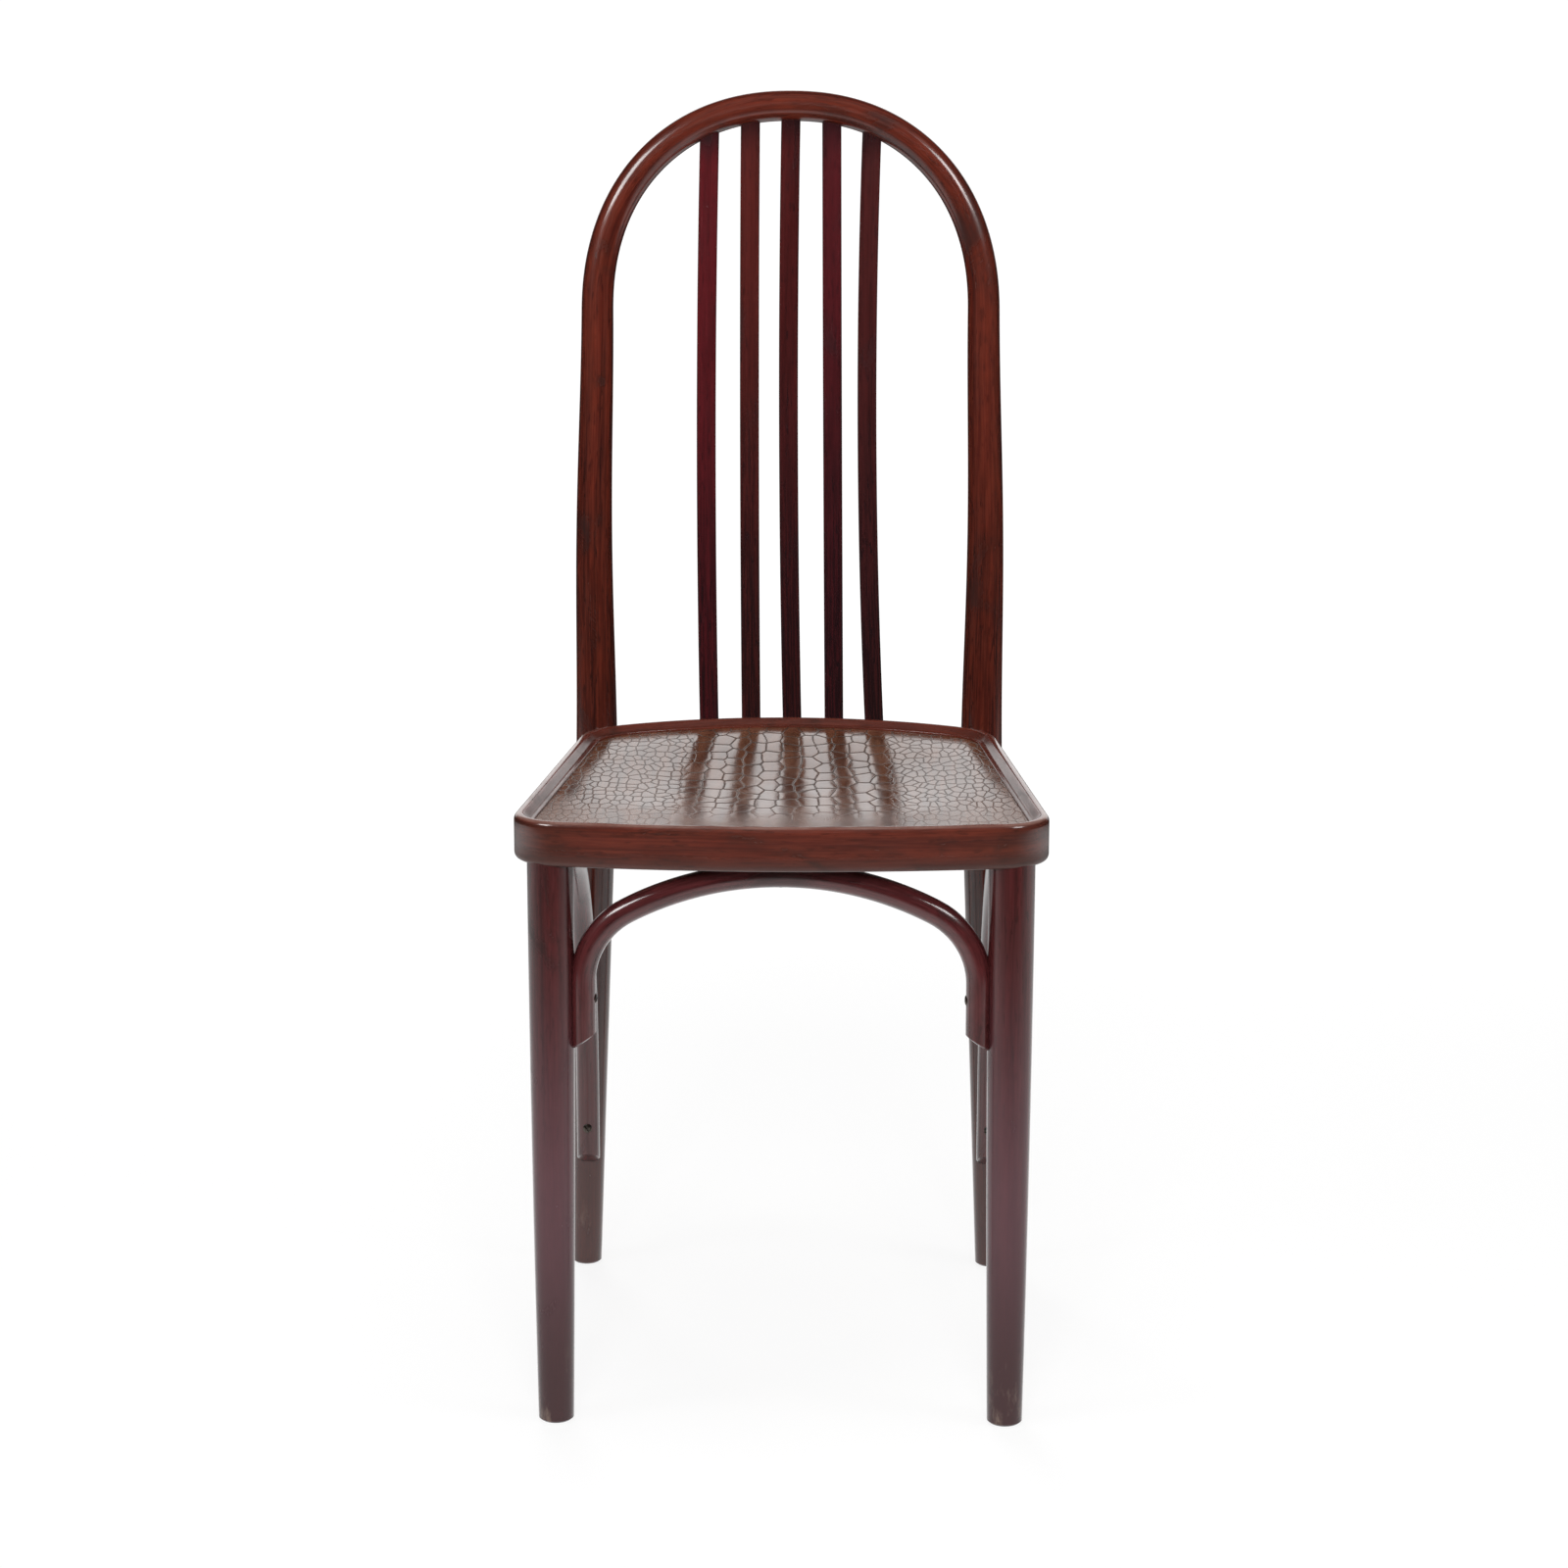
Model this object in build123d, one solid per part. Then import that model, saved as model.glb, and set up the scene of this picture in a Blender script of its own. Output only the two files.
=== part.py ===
from build123d import *
import os
from math import atan2, cos, degrees, hypot, pi, radians, sin, sqrt

# Bentwood side chair with a slatted back. Millimetres, +Z up, front towards -Y.
# The origin is on the floor, below the middle of the chair's overall box.

# Overall heights
SEAT_HEIGHT = 465.0          # floor to the top of the seat ring
BACK_HEIGHT = 977.0          # floor to the top of the back bow

# Seat ring, seen from above
SEAT_DEPTH = 418.0           # front edge to rear edge on the centre line
SEAT_FRONT_WIDTH = 405.0     # between the two side lines, at the front edge
SEAT_REAR_WIDTH = 323.0      # between the two side lines, at the rear edge
FRONT_EDGE_RADIUS = 1000.0
REAR_EDGE_RADIUS = 290.0
FRONT_CORNER_RADIUS = 38.0
REAR_CORNER_RADIUS = 60.0
LEAST_INNER_RADIUS = 6.0     # bend left at the inside of a tight corner

# Seat ring, in section, measured in from its outer face
RING_HEIGHT = 33.5
RING_WIDTH = 44.0
RIM_WIDTH = 6.5              # flat top of the rim
STEP_WIDTH = 5.0             # sloping step inside the rim
STEP_DROP = 5.0
LEDGE_WIDTH = 3.5            # flat ledge between the step and the panel
PANEL_SINK = 1.5             # panel top below the ledge
RING_EDGE_ROUND = 5.0

# Seat panel
PANEL_THICK = 4.5
DISH_DEPTH = 6.0
DISH_MARGIN = 8.0            # flat border left inside the ring

# Front legs
LEG_INSET = 29.7             # leg centre in from the seat's side line, at the top
LEG_SETBACK = 34.0           # leg centre behind the seat's front edge, at the top
LEG_FORWARD = 6.0            # the foot stands this far ahead of the top
LEG_TOP_DIAMETER = 34.4
LEG_FOOT_DIAMETER = 26.6
LEG_SWELL = 0.8              # fullness of the taper at half height
LEG_TENON_DIAMETER = 20.0
LEG_TENON_LENGTH = 18.0

# Back bow: both rear legs, the posts and the arch in one bent rod
POST_INSET = 6.9             # post centre in from the seat's side line
POST_SETBACK = 40.0          # post centre ahead of the seat's rear edge
FOOT_SPLAY = 12.5            # each rear foot outside its post
FOOT_KICK = 4.0              # rear feet behind the posts
BACK_LEAN = 68.0             # crown behind the posts
LEAN_BEND = 60.0             # how gently the rod bends back at the seat
ARCH_DRAW_IN = 1.0           # each post drawn in by this where the arch springs
ARCH_RISE = 165.0
ARCH_FULLNESS = 2.2          # 2 is an ellipse, more is squarer
POST_BULGE = 2.3             # outward bow of the posts between seat and arch
BOW_FOOT_WIDTH = 24.5        # rod widths seen from the front
BOW_SEAT_WIDTH = 34.0
BOW_CROWN_WIDTH = 24.5
BOW_FOOT_DEPTH = 24.0        # rod depths seen from the side
BOW_SEAT_DEPTH = 28.0
BOW_CROWN_DEPTH = 23.0
BOW_TAPER_POWER = 1.6        # how soon the post thins above the seat

# Slats
SLAT_WIDTH = 15.5
SLAT_THICK = 8.0
SLAT_CORNER = 1.8
SLAT_TOP_PITCH = 33.0
SLAT_FOOT_PITCH = 34.5
SLAT_FOOT_SHIFT = 2.6        # the feet were set a little to one side
SLAT_BELLY = 5.0             # forward bow at half height
SLAT_LAP = 29.0              # length lapped on the ring's rear face
SLAT_HOUSING = 2.0           # depth that the slat is let into the ring
SLAT_SETS = (-2.8, -1.1, -2.8, -0.3, -5.7)   # sideways bow of each slat at half height

# Braces under the seat
BRACE_DIAMETER = 19.0
BRACE_LET_IN = 3.0           # depth that a limb is hollowed to fit its leg
BRACE_FLAT = 0.5             # depth of the flat where a brace meets the ring
BRACE_END_BEVEL = 30.0       # degrees
FRONT_LIMB_END = 290.0       # height of the end of the limbs on the front legs
REAR_LIMB_END = 91.0         # height of the end of the limbs on the rear legs
FRONT_CROWN_RADIUS = 245.0
FRONT_SHOULDER_RADIUS = 62.0
SIDE_SHOULDER_RADIUS = 51.0   # over the front limb; the rear sweep fills the rest of the span

# Fasteners
BOLT_DIAMETER = 6.0
BOLT_HEAD_DIAMETER = 14.0
BOLT_HEAD_HEIGHT = 3.5
BOLT_HEAD_SINK = 3.0         # flat let into the post for the bolt's head
BOLT_END = 3.0               # thread left beyond the nut
WASHER_DIAMETER = 15.0
WASHER_THICK = 1.5
NUT_ACROSS_FLATS = 10.0
NUT_HEIGHT = 5.0
NUT_SEAT = 5.0               # depth of the flat cut inside the ring for the washer
FLAT_ROOM = 0.8              # room round a washer or a bolt's head in its flat
SCREW_HEAD_DIAMETER = 7.5
SCREW_HEAD_HEIGHT = 2.6
SCREW_SHANK_DIAMETER = 4.0
SCREW_TIP = 4.0
SCREW_SLOT_WIDTH = 1.0
SCREW_SLOT_DEPTH = 1.0
SCREW_SINK = 0.8             # head below the crest of the rod
LIMB_SCREW_LENGTH = 32.0
CROWN_SCREW_LENGTH = 30.0
SLAT_SCREW_LENGTH = 24.0
FRONT_BRACE_SCREW_RISE = 38.0   # screws above the ends of their limbs
SIDE_FRONT_SCREW_RISE = 20.0
SIDE_REAR_SCREW_RISE = 35.0

# Fits
CLEARANCE = 0.15             # all round a seated piece
FOOT_CHAMFER = 1.5
BEYOND = 20.0                # how far a cutter runs past what it cuts

# Where sections are taken, as shares of a length and as angles round the arch
ROD_SHARES = (0, 0.25, 0.5, 0.75, 1)
POST_SHARES = (0.2, 0.4, 0.6, 0.8)
ARCH_ANGLES = (8, 20, 34, 48, 62, 76, 90, 104, 118, 132, 146, 160, 172)

# Worked out from the sizes above
ring_bottom = SEAT_HEIGHT - RING_HEIGHT
ledge_level = SEAT_HEIGHT - STEP_DROP
panel_inset = RIM_WIDTH + STEP_WIDTH + LEDGE_WIDTH
panel_top = ledge_level - PANEL_SINK
rabbet_level = panel_top - PANEL_THICK
post_level = (ring_bottom + rabbet_level) / 2

lean_rise = BACK_HEIGHT - post_level
lean_slope = BACK_LEAN / lean_rise
lean_angle = atan2(BACK_LEAN, lean_rise)
crown_half = BOW_CROWN_WIDTH / 2
crown_half_depth = BOW_CROWN_DEPTH / 2
crown_reach_up = hypot(crown_half * cos(lean_angle), crown_half_depth * sin(lean_angle))
crown_reach_back = hypot(crown_half * sin(lean_angle), crown_half_depth * cos(lean_angle))
crown_level = BACK_HEIGHT - crown_reach_up
spring_level = crown_level - ARCH_RISE

overall_depth = SEAT_DEPTH - POST_SETBACK + BACK_LEAN + crown_reach_back
front_y = -overall_depth / 2
rear_y = front_y + SEAT_DEPTH
post_y = rear_y - POST_SETBACK
leg_top_y = front_y + LEG_SETBACK
leg_foot_y = leg_top_y - LEG_FORWARD
brace_radius = BRACE_DIAMETER / 2

side_slope = (SEAT_FRONT_WIDTH - SEAT_REAR_WIDTH) / 2 / SEAT_DEPTH


# Seat outline

def side_x(y):
    # the seat's right side line
    return SEAT_FRONT_WIDTH / 2 - side_slope * (y - front_y)


leg_x = side_x(leg_top_y) - LEG_INSET
post_half_spread = side_x(post_y) - POST_INSET
arch_half = post_half_spread - ARCH_DRAW_IN
foot_half_spread = post_half_spread + FOOT_SPLAY


def corner(inset, centre_y, radius, end):
    # where the side line meets the front or rear edge, both moved in by the inset
    moved = side_x(0) - inset * hypot(1, side_slope)
    a = 1 + side_slope ** 2
    b = -2 * (moved * side_slope + centre_y)
    c = moved ** 2 + centre_y ** 2 - radius ** 2
    y = (-b + end * sqrt(b ** 2 - 4 * a * c)) / (2 * a)
    return moved - side_slope * y, y


def seat_outline(inset, level):
    # the seat's outline moved in by the inset, as a face at the given level
    front_x, front_corner_y = corner(inset, front_y + FRONT_EDGE_RADIUS, FRONT_EDGE_RADIUS - inset, -1)
    rear_x, rear_corner_y = corner(inset, rear_y - REAR_EDGE_RADIUS, REAR_EDGE_RADIUS - inset, 1)
    front = ThreePointArc((-front_x, front_corner_y), (0, front_y + inset), (front_x, front_corner_y))
    right = Line((front_x, front_corner_y), (rear_x, rear_corner_y))
    rear = ThreePointArc((rear_x, rear_corner_y), (0, rear_y - inset), (-rear_x, rear_corner_y))
    left = Line((-rear_x, rear_corner_y), (-front_x, front_corner_y))
    face = make_face([front, right, rear, left])
    front_radius = max(FRONT_CORNER_RADIUS - inset, LEAST_INNER_RADIUS)
    rear_radius = max(REAR_CORNER_RADIUS - inset, LEAST_INNER_RADIUS)
    corners = face.vertices().sort_by(Axis.Y)
    face = fillet(corners[:2], front_radius)
    corners = [v for v in face.vertices() if abs(v.Y - rear_corner_y) < CLEARANCE]
    face = fillet(corners, rear_radius)
    return Pos(0, 0, level) * face


def ring_rear(x):
    # the ring's rear face behind a point x from the centre line
    return rear_y - REAR_EDGE_RADIUS + sqrt(REAR_EDGE_RADIUS ** 2 - x ** 2)


# Back bow

def bow_side(z):
    # how far back the rod's centre lies at a height, and its slope there
    t = z - post_level
    root = hypot(t, LEAN_BEND)
    kick = FOOT_KICK / post_level
    y = post_y + lean_slope * (root + t) / 2 + kick * (root - t) / 2
    slope = lean_slope * (t / root + 1) / 2 + kick * (t / root - 1) / 2
    return y, slope


def post_x(z):
    # half the distance between the rod's centres below the arch
    if z < post_level:
        return post_half_spread + FOOT_SPLAY * (1 - z / post_level)
    t = (z - post_level) / (spring_level - post_level)
    return post_half_spread - ARCH_DRAW_IN * t + POST_BULGE * sin(pi * t) ** 2


def arch_z(x):
    # height of the rod's centre at a distance x from the middle of the arch
    return spring_level + ARCH_RISE * (1 - abs(x / arch_half) ** ARCH_FULLNESS) ** (1 / ARCH_FULLNESS)


def rod_size(z, foot, seat, crown):
    # rod width or depth at a height: straight taper below the seat, quicker above it
    if z < post_level:
        return foot + (seat - foot) * max(z, 0) / post_level
    t = (z - post_level) / (crown_level - post_level)
    return crown + (seat - crown) * max(1 - t, 0) ** BOW_TAPER_POWER


def bow_section(x, z, along_x, along_z, grow):
    # an oval across the rod where its centre line runs along (along_x, along_z) in front view
    y, slope = bow_side(z)
    tangent = Vector(along_x, along_z * slope, along_z).normalized()
    depth = Vector(0, 1, 0) - tangent * tangent.Y
    across = tangent.cross(depth.normalized())
    half_width = rod_size(z, BOW_FOOT_WIDTH, BOW_SEAT_WIDTH, BOW_CROWN_WIDTH) / 2 + grow
    half_depth = rod_size(z, BOW_FOOT_DEPTH, BOW_SEAT_DEPTH, BOW_CROWN_DEPTH) / 2 + grow
    return Plane(origin=(x, y, z), x_dir=across, z_dir=tangent) * Ellipse(half_width, half_depth)


def post_sections(levels, side, heading, grow):
    # sections of one post or rear leg at the given levels
    step = 1.0
    sections = []
    for z in levels:
        lean = (post_x(z + step) - post_x(z - step)) / (2 * step)
        sections.append(bow_section(side * post_x(z), z, heading * side * lean, heading, grow))
    return sections


def arch_sections(angles, grow):
    # sections of the arch, from the left springing over the crown to the right one
    power = 2 / ARCH_FULLNESS
    sections = []
    for angle in angles:
        c = cos(radians(angle))
        s = sin(radians(angle))
        x = -arch_half * abs(c) ** power * (1 if c >= 0 else -1)
        z = spring_level + ARCH_RISE * s ** power
        along_x = ((z - spring_level) / ARCH_RISE) ** (ARCH_FULLNESS - 1) / ARCH_RISE
        along_z = abs(x / arch_half) ** (ARCH_FULLNESS - 1) / arch_half * (1 if x <= 0 else -1)
        sections.append(bow_section(x, z, along_x, along_z, grow))
    return sections


def bow_rod(grow):
    # the whole rod, from below one foot over the crown to below the other
    leg_levels = [post_level * share for share in ROD_SHARES]
    post_levels = [post_level + (spring_level - post_level) * share for share in POST_SHARES]
    levels = [-BEYOND] + leg_levels + post_levels
    sections = post_sections(levels, -1, 1, grow)
    sections += arch_sections(ARCH_ANGLES, grow)
    sections += post_sections(levels[::-1], 1, -1, grow)
    return loft(sections)


def foot_trim(side):
    # what lies outside a cone round the end of a rear leg, and bevels its sole
    reach = 2 * FOOT_CHAMFER
    low = post_sections([FOOT_CHAMFER - reach], side, 1, -reach)
    high = post_sections([FOOT_CHAMFER + reach], side, 1, reach)
    slab = Box(foot_half_spread, overall_depth, reach, align=(Align.CENTER, Align.CENTER, Align.MIN))
    return Pos(side * foot_half_spread, bow_side(0)[0], 0) * slab - loft(low + high)


def make_bow():
    below = Pos(0, 0, -BEYOND) * Box(4 * foot_half_spread, overall_depth * 2, 2 * BEYOND)
    return bow_rod(0) - below - foot_trim(-1) - foot_trim(1)


# Front legs

def leg_plane(side):
    # upright plane square to a front leg at its foot, turned to the leg's lean
    up = Vector(0, LEG_FORWARD, ring_bottom).normalized()
    return Plane(origin=(side * leg_x, leg_foot_y, 0), x_dir=(1, 0, 0), z_dir=up)


def leg_y(z):
    return leg_foot_y + LEG_FORWARD * z / ring_bottom


def leg_radius(z):
    # radius at a height: a straight taper, filled out by the swell at half height
    t = z / ring_bottom
    straight = LEG_FOOT_DIAMETER + (LEG_TOP_DIAMETER - LEG_FOOT_DIAMETER) * t
    return straight / 2 + LEG_SWELL * 4 * t * (1 - t)


def make_leg(side, grow):
    # turned leg between the floor and the ring, without its tenon
    top = ring_bottom + BEYOND / 2
    toe = FOOT_CHAMFER
    levels = [toe + (top - toe) * share for share in ROD_SHARES]
    edge = Spline([(leg_radius(z) + grow, z) for z in levels])
    below = (leg_radius(0) + grow - 2 * toe, -toe)
    outline = make_face([edge, Polyline(edge @ 1, (0, top), (0, -toe), below, edge @ 0)])
    turned = leg_plane(side) * revolve(Plane.XZ * outline, Axis.Z)
    span = Pos(side * leg_x, leg_foot_y, ring_bottom / 2) * Box(leg_x, leg_x, ring_bottom)
    return turned & span


def leg_tenon(side, grow):
    # round tenon on the leg's own axis, rooted in the leg
    start = Plane(origin=(side * leg_x, leg_top_y, ring_bottom), z_dir=leg_plane(side).z_dir)
    radius = LEG_TENON_DIAMETER / 2 + grow
    return start * Pos(0, 0, -BEYOND) * extrude(Circle(radius), LEG_TENON_LENGTH + grow + BEYOND)


def finish_leg(side):
    return make_leg(side, 0) + leg_tenon(side, 0)


# Slats

def slat_foot_x(index):
    middle = (len(SLAT_SETS) - 1) / 2
    return (index - middle) * SLAT_FOOT_PITCH + SLAT_FOOT_SHIFT


def slat_top_x(index):
    middle = (len(SLAT_SETS) - 1) / 2
    return (index - middle) * SLAT_TOP_PITCH


def slat_point(index, t):
    # centre of a slat at a share t of its length, from the foot to the top
    low = SEAT_HEIGHT - SLAT_LAP
    high = arch_z(slat_top_x(index))
    foot_y = ring_rear(slat_foot_x(index)) + SLAT_THICK / 2 - SLAT_HOUSING
    top_y = bow_side(high)[0]
    hump = 4 * t * (1 - t)
    x = slat_foot_x(index) + (slat_top_x(index) - slat_foot_x(index)) * t + SLAT_SETS[index] * hump
    y = foot_y + (top_y - foot_y) * t - SLAT_BELLY * hump
    return Vector(x, y, low + (high - low) * t)


def make_slat(index, grow):
    # flat slat with eased edges, through level sections; its top end is its tenon
    sections = []
    for t in ROD_SHARES:
        point = slat_point(index, t)
        level = point.Z + grow * (2 * t - 1)
        section = RectangleRounded(SLAT_WIDTH + 2 * grow, SLAT_THICK + 2 * grow, SLAT_CORNER + grow)
        sections.append(Pos(point.X, point.Y, level) * section)
    return loft(sections)


# Braces

def limb_tip(heel, away):
    # wedge that bevels the end of a limb, rising from the heel on the leg's side
    across = away.cross(Vector(0, 0, 1))
    bevel = radians(BRACE_END_BEVEL)
    along = away * cos(bevel) + Vector(0, 0, 1) * sin(bevel)
    plane = Plane(origin=heel, x_dir=along, z_dir=across.cross(along))
    size = 4 * BRACE_DIAMETER
    return plane * Box(size, size, size, align=(Align.CENTER, Align.CENTER, Align.MAX))


def above_ring_bottom():
    # room above the ring's underside, which flattens the crowns of the braces
    return Pos(0, 0, ring_bottom + BEYOND) * Box(SEAT_FRONT_WIDTH * 2, overall_depth * 2, 2 * BEYOND)


def brace_rod(path):
    return sweep(Plane(origin=path @ 0, z_dir=path % 0) * Circle(brace_radius), path)


bow_room = bow_rod(CLEARANCE)
brace_crown = ring_bottom + BRACE_FLAT - brace_radius
limb_low = FRONT_LIMB_END - 2 * BEYOND
front_limb_x = leg_x - leg_radius(FRONT_LIMB_END) - brace_radius + BRACE_LET_IN
front_upright = Plane(origin=(0, leg_foot_y, 0), x_dir=(1, 0, 0), z_dir=(0, -ring_bottom, LEG_FORWARD))


def make_front_brace():
    # three-centred arch between the front legs
    crown_centre = brace_crown - FRONT_CROWN_RADIUS
    shoulder_x = front_limb_x - FRONT_SHOULDER_RADIUS
    between = FRONT_CROWN_RADIUS - FRONT_SHOULDER_RADIUS
    shoulder_z = crown_centre + sqrt(between ** 2 - shoulder_x ** 2)
    turn = degrees(atan2(shoulder_z - crown_centre, shoulder_x))
    path = front_upright * Wire([
        Line((-front_limb_x, limb_low), (-front_limb_x, shoulder_z)),
        CenterArc((-shoulder_x, shoulder_z), FRONT_SHOULDER_RADIUS, 180, -turn),
        CenterArc((0, crown_centre), FRONT_CROWN_RADIUS, 180 - turn, 2 * turn - 180),
        CenterArc((shoulder_x, shoulder_z), FRONT_SHOULDER_RADIUS, turn, -turn),
        Line((front_limb_x, shoulder_z), (front_limb_x, limb_low))])
    rod = brace_rod(path) - above_ring_bottom()
    for side in (-1, 1):
        heel = Vector(side * (front_limb_x + brace_radius), leg_y(FRONT_LIMB_END), FRONT_LIMB_END)
        rod -= limb_tip(heel, Vector(-side, 0, 0))
        rod -= make_leg(side, CLEARANCE)
    return rod


rear_screw_level = REAR_LIMB_END + SIDE_REAR_SCREW_RISE
rear_half_depth = rod_size(rear_screw_level, BOW_FOOT_DEPTH, BOW_SEAT_DEPTH, BOW_CROWN_DEPTH) / 2
side_front_y = leg_y(FRONT_LIMB_END) + leg_radius(FRONT_LIMB_END) + brace_radius - BRACE_LET_IN
side_rear_y = bow_side(rear_screw_level)[0] - rear_half_depth - brace_radius + BRACE_LET_IN
side_toe = (post_x(rear_screw_level) - leg_x) / (side_rear_y - side_front_y)
side_span = (side_rear_y - side_front_y) * hypot(1, side_toe)


def side_upright(side):
    # upright plane of a side brace: its x runs from the front limb back to the rear limb
    along = Vector(side * side_toe, 1, 0).normalized()
    return Plane(origin=(side * leg_x, side_front_y, 0), x_dir=along, z_dir=along.cross(Vector(0, 0, 1)))


def make_side_brace(side):
    # front limb, tight shoulder, crown under the ring, then one long sweep to the rear limb
    shoulder_z = brace_crown - SIDE_SHOULDER_RADIUS
    sweep_radius = side_span - SIDE_SHOULDER_RADIUS
    path = side_upright(side) * Wire([
        Line((0, limb_low), (0, shoulder_z)),
        CenterArc((SIDE_SHOULDER_RADIUS, shoulder_z), SIDE_SHOULDER_RADIUS, 180, -90),
        CenterArc((SIDE_SHOULDER_RADIUS, brace_crown - sweep_radius), sweep_radius, 90, -90),
        Line((side_span, brace_crown - sweep_radius), (side_span, REAR_LIMB_END - 2 * BEYOND))])
    rod = brace_rod(path) - above_ring_bottom()
    upright = side_upright(side)
    front_heel = upright.from_local_coords(Vector(-brace_radius, FRONT_LIMB_END, 0))
    rear_heel = upright.from_local_coords(Vector(side_span + brace_radius, REAR_LIMB_END, 0))
    rod -= limb_tip(front_heel, upright.x_dir)
    rod -= limb_tip(rear_heel, upright.x_dir * -1)
    rod -= screw_hole(side_front_screw_place(side), LIMB_SCREW_LENGTH)
    rod -= screw_hole(side_rear_screw_place(side), LIMB_SCREW_LENGTH)
    rod -= screw_hole(side_crown_screw_place(side), CROWN_SCREW_LENGTH)
    return rod - make_leg(side, CLEARANCE) - bow_room


# Screws and bolts

def screw_profile(length, grow, reach):
    # half section of a countersunk screw: head at the origin, shank along +Z
    head = SCREW_HEAD_DIAMETER / 2 + grow
    shank = SCREW_SHANK_DIAMETER / 2 + grow
    points = [(0, -reach), (head, -reach), (head, 0), (shank, SCREW_HEAD_HEIGHT),
              (shank, length - SCREW_TIP), (0, length + grow)]
    if reach == 0:
        points = points[1:]
        points[0] = (0, 0)
    return revolve(Plane.XZ * make_face(Polyline(points, close=True)), Axis.Z)


def screw(place, length):
    slot = Pos(0, 0, SCREW_SLOT_DEPTH / 2) * Box(SCREW_SLOT_WIDTH, 2 * SCREW_HEAD_DIAMETER, SCREW_SLOT_DEPTH)
    return place * (screw_profile(length, 0, 0) - slot)


def screw_hole(place, length):
    return place * screw_profile(length, CLEARANCE, BEYOND)


def front_limb_screw_place(side):
    level = FRONT_LIMB_END + FRONT_BRACE_SCREW_RISE
    start = (side * (front_limb_x - brace_radius + SCREW_SINK), leg_y(level), level)
    return Plane(origin=start, x_dir=(0, 0, 1), z_dir=(side, 0, 0))


def side_screw_place(side, reach, level, heading):
    # screw in a side brace, at a distance along the brace's plane and a level
    upright = side_upright(side)
    start = upright.from_local_coords(Vector(reach, level, 0))
    return Plane(origin=start, x_dir=(0, 0, 1), z_dir=upright.x_dir * heading)


def side_front_screw_place(side):
    return side_screw_place(side, brace_radius - SCREW_SINK, FRONT_LIMB_END + SIDE_FRONT_SCREW_RISE, -1)


def side_rear_screw_place(side):
    return side_screw_place(side, side_span - brace_radius + SCREW_SINK, rear_screw_level, 1)


crown_screw_level = brace_crown - brace_radius + SCREW_SINK


def front_crown_screw_place():
    start = front_upright.from_local_coords(Vector(0, crown_screw_level, 0))
    return Plane(origin=start, z_dir=front_upright.y_dir)


def side_crown_screw_place(side):
    start = side_upright(side).from_local_coords(Vector(SIDE_SHOULDER_RADIUS, crown_screw_level, 0))
    return Plane(origin=start, z_dir=(0, 0, 1))


def slat_screw_place(index):
    level = SEAT_HEIGHT - SLAT_LAP / 2
    length = arch_z(slat_top_x(index)) - SEAT_HEIGHT + SLAT_LAP
    point = slat_point(index, SLAT_LAP / 2 / length)
    return Plane(origin=(point.X, point.Y + SLAT_THICK / 2, level), x_dir=(0, 0, 1), z_dir=(0, -1, 0))


bend_reach = REAR_EDGE_RADIUS - REAR_CORNER_RADIUS
bend_x, bend_y = corner(REAR_CORNER_RADIUS, rear_y - REAR_EDGE_RADIUS, bend_reach, 1)
bolt_run = Vector(post_half_spread - bend_x, bow_side(post_level)[0] - bend_y, 0)
bolt_aim = bolt_run.normalized()
post_half = 0.5 / hypot(bolt_aim.X / BOW_SEAT_WIDTH, bolt_aim.Y / BOW_SEAT_DEPTH)   # along the bolt
washer_seat = REAR_CORNER_RADIUS - RING_WIDTH + NUT_SEAT
bolt_seat = bolt_run.length + post_half - BOLT_HEAD_SINK
nut_top = washer_seat - WASHER_THICK


def bolt_plane(side):
    # a bolt's axis, from the middle of the ring's rear bend out through the post
    return Plane(origin=(side * bend_x, bend_y, post_level), z_dir=(side * bolt_aim.X, bolt_aim.Y, 0))


def barrel(radius, low, high):
    return Pos(0, 0, low) * extrude(Circle(radius), high - low)


def make_bolt(side):
    # plain shank and a low dome, turned in one
    end = nut_top - NUT_HEIGHT - BOLT_END
    shank = BOLT_DIAMETER / 2
    head = BOLT_HEAD_DIAMETER / 2
    top = bolt_seat + BOLT_HEAD_HEIGHT
    ball = (head ** 2 + BOLT_HEAD_HEIGHT ** 2) / (2 * BOLT_HEAD_HEIGHT)
    half_turn = atan2(head, ball - BOLT_HEAD_HEIGHT) / 2
    between = (ball * sin(half_turn), top - ball * (1 - cos(half_turn)))
    outline = make_face([
        Polyline((0, top), (0, end), (shank, end), (shank, bolt_seat), (head, bolt_seat)),
        ThreePointArc((head, bolt_seat), between, (0, top))])
    return bolt_plane(side) * revolve(Plane.XZ * outline, Axis.Z)


def make_washer(side):
    hole = barrel(BOLT_DIAMETER / 2 + CLEARANCE, nut_top - BEYOND, washer_seat + BEYOND)
    return bolt_plane(side) * (barrel(WASHER_DIAMETER / 2, nut_top, washer_seat) - hole)


def make_nut(side):
    hole = barrel(BOLT_DIAMETER / 2 + CLEARANCE, nut_top - BEYOND, washer_seat + BEYOND)
    hexagon = RegularPolygon(NUT_ACROSS_FLATS / 2, 6, major_radius=False)
    nut = Pos(0, 0, nut_top - NUT_HEIGHT) * extrude(hexagon, NUT_HEIGHT)
    return bolt_plane(side) * (nut - hole)


def bolt_bore(side):
    bore = barrel(BOLT_DIAMETER / 2 + CLEARANCE, washer_seat - BEYOND, bolt_seat + BEYOND)
    return bolt_plane(side) * bore


def washer_flat(side):
    return bolt_plane(side) * barrel(WASHER_DIAMETER / 2 + FLAT_ROOM, washer_seat - BEYOND, washer_seat)


def head_flat(side):
    return bolt_plane(side) * barrel(BOLT_HEAD_DIAMETER / 2 + FLAT_ROOM, bolt_seat, bolt_seat + BEYOND)


# Seat

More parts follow.
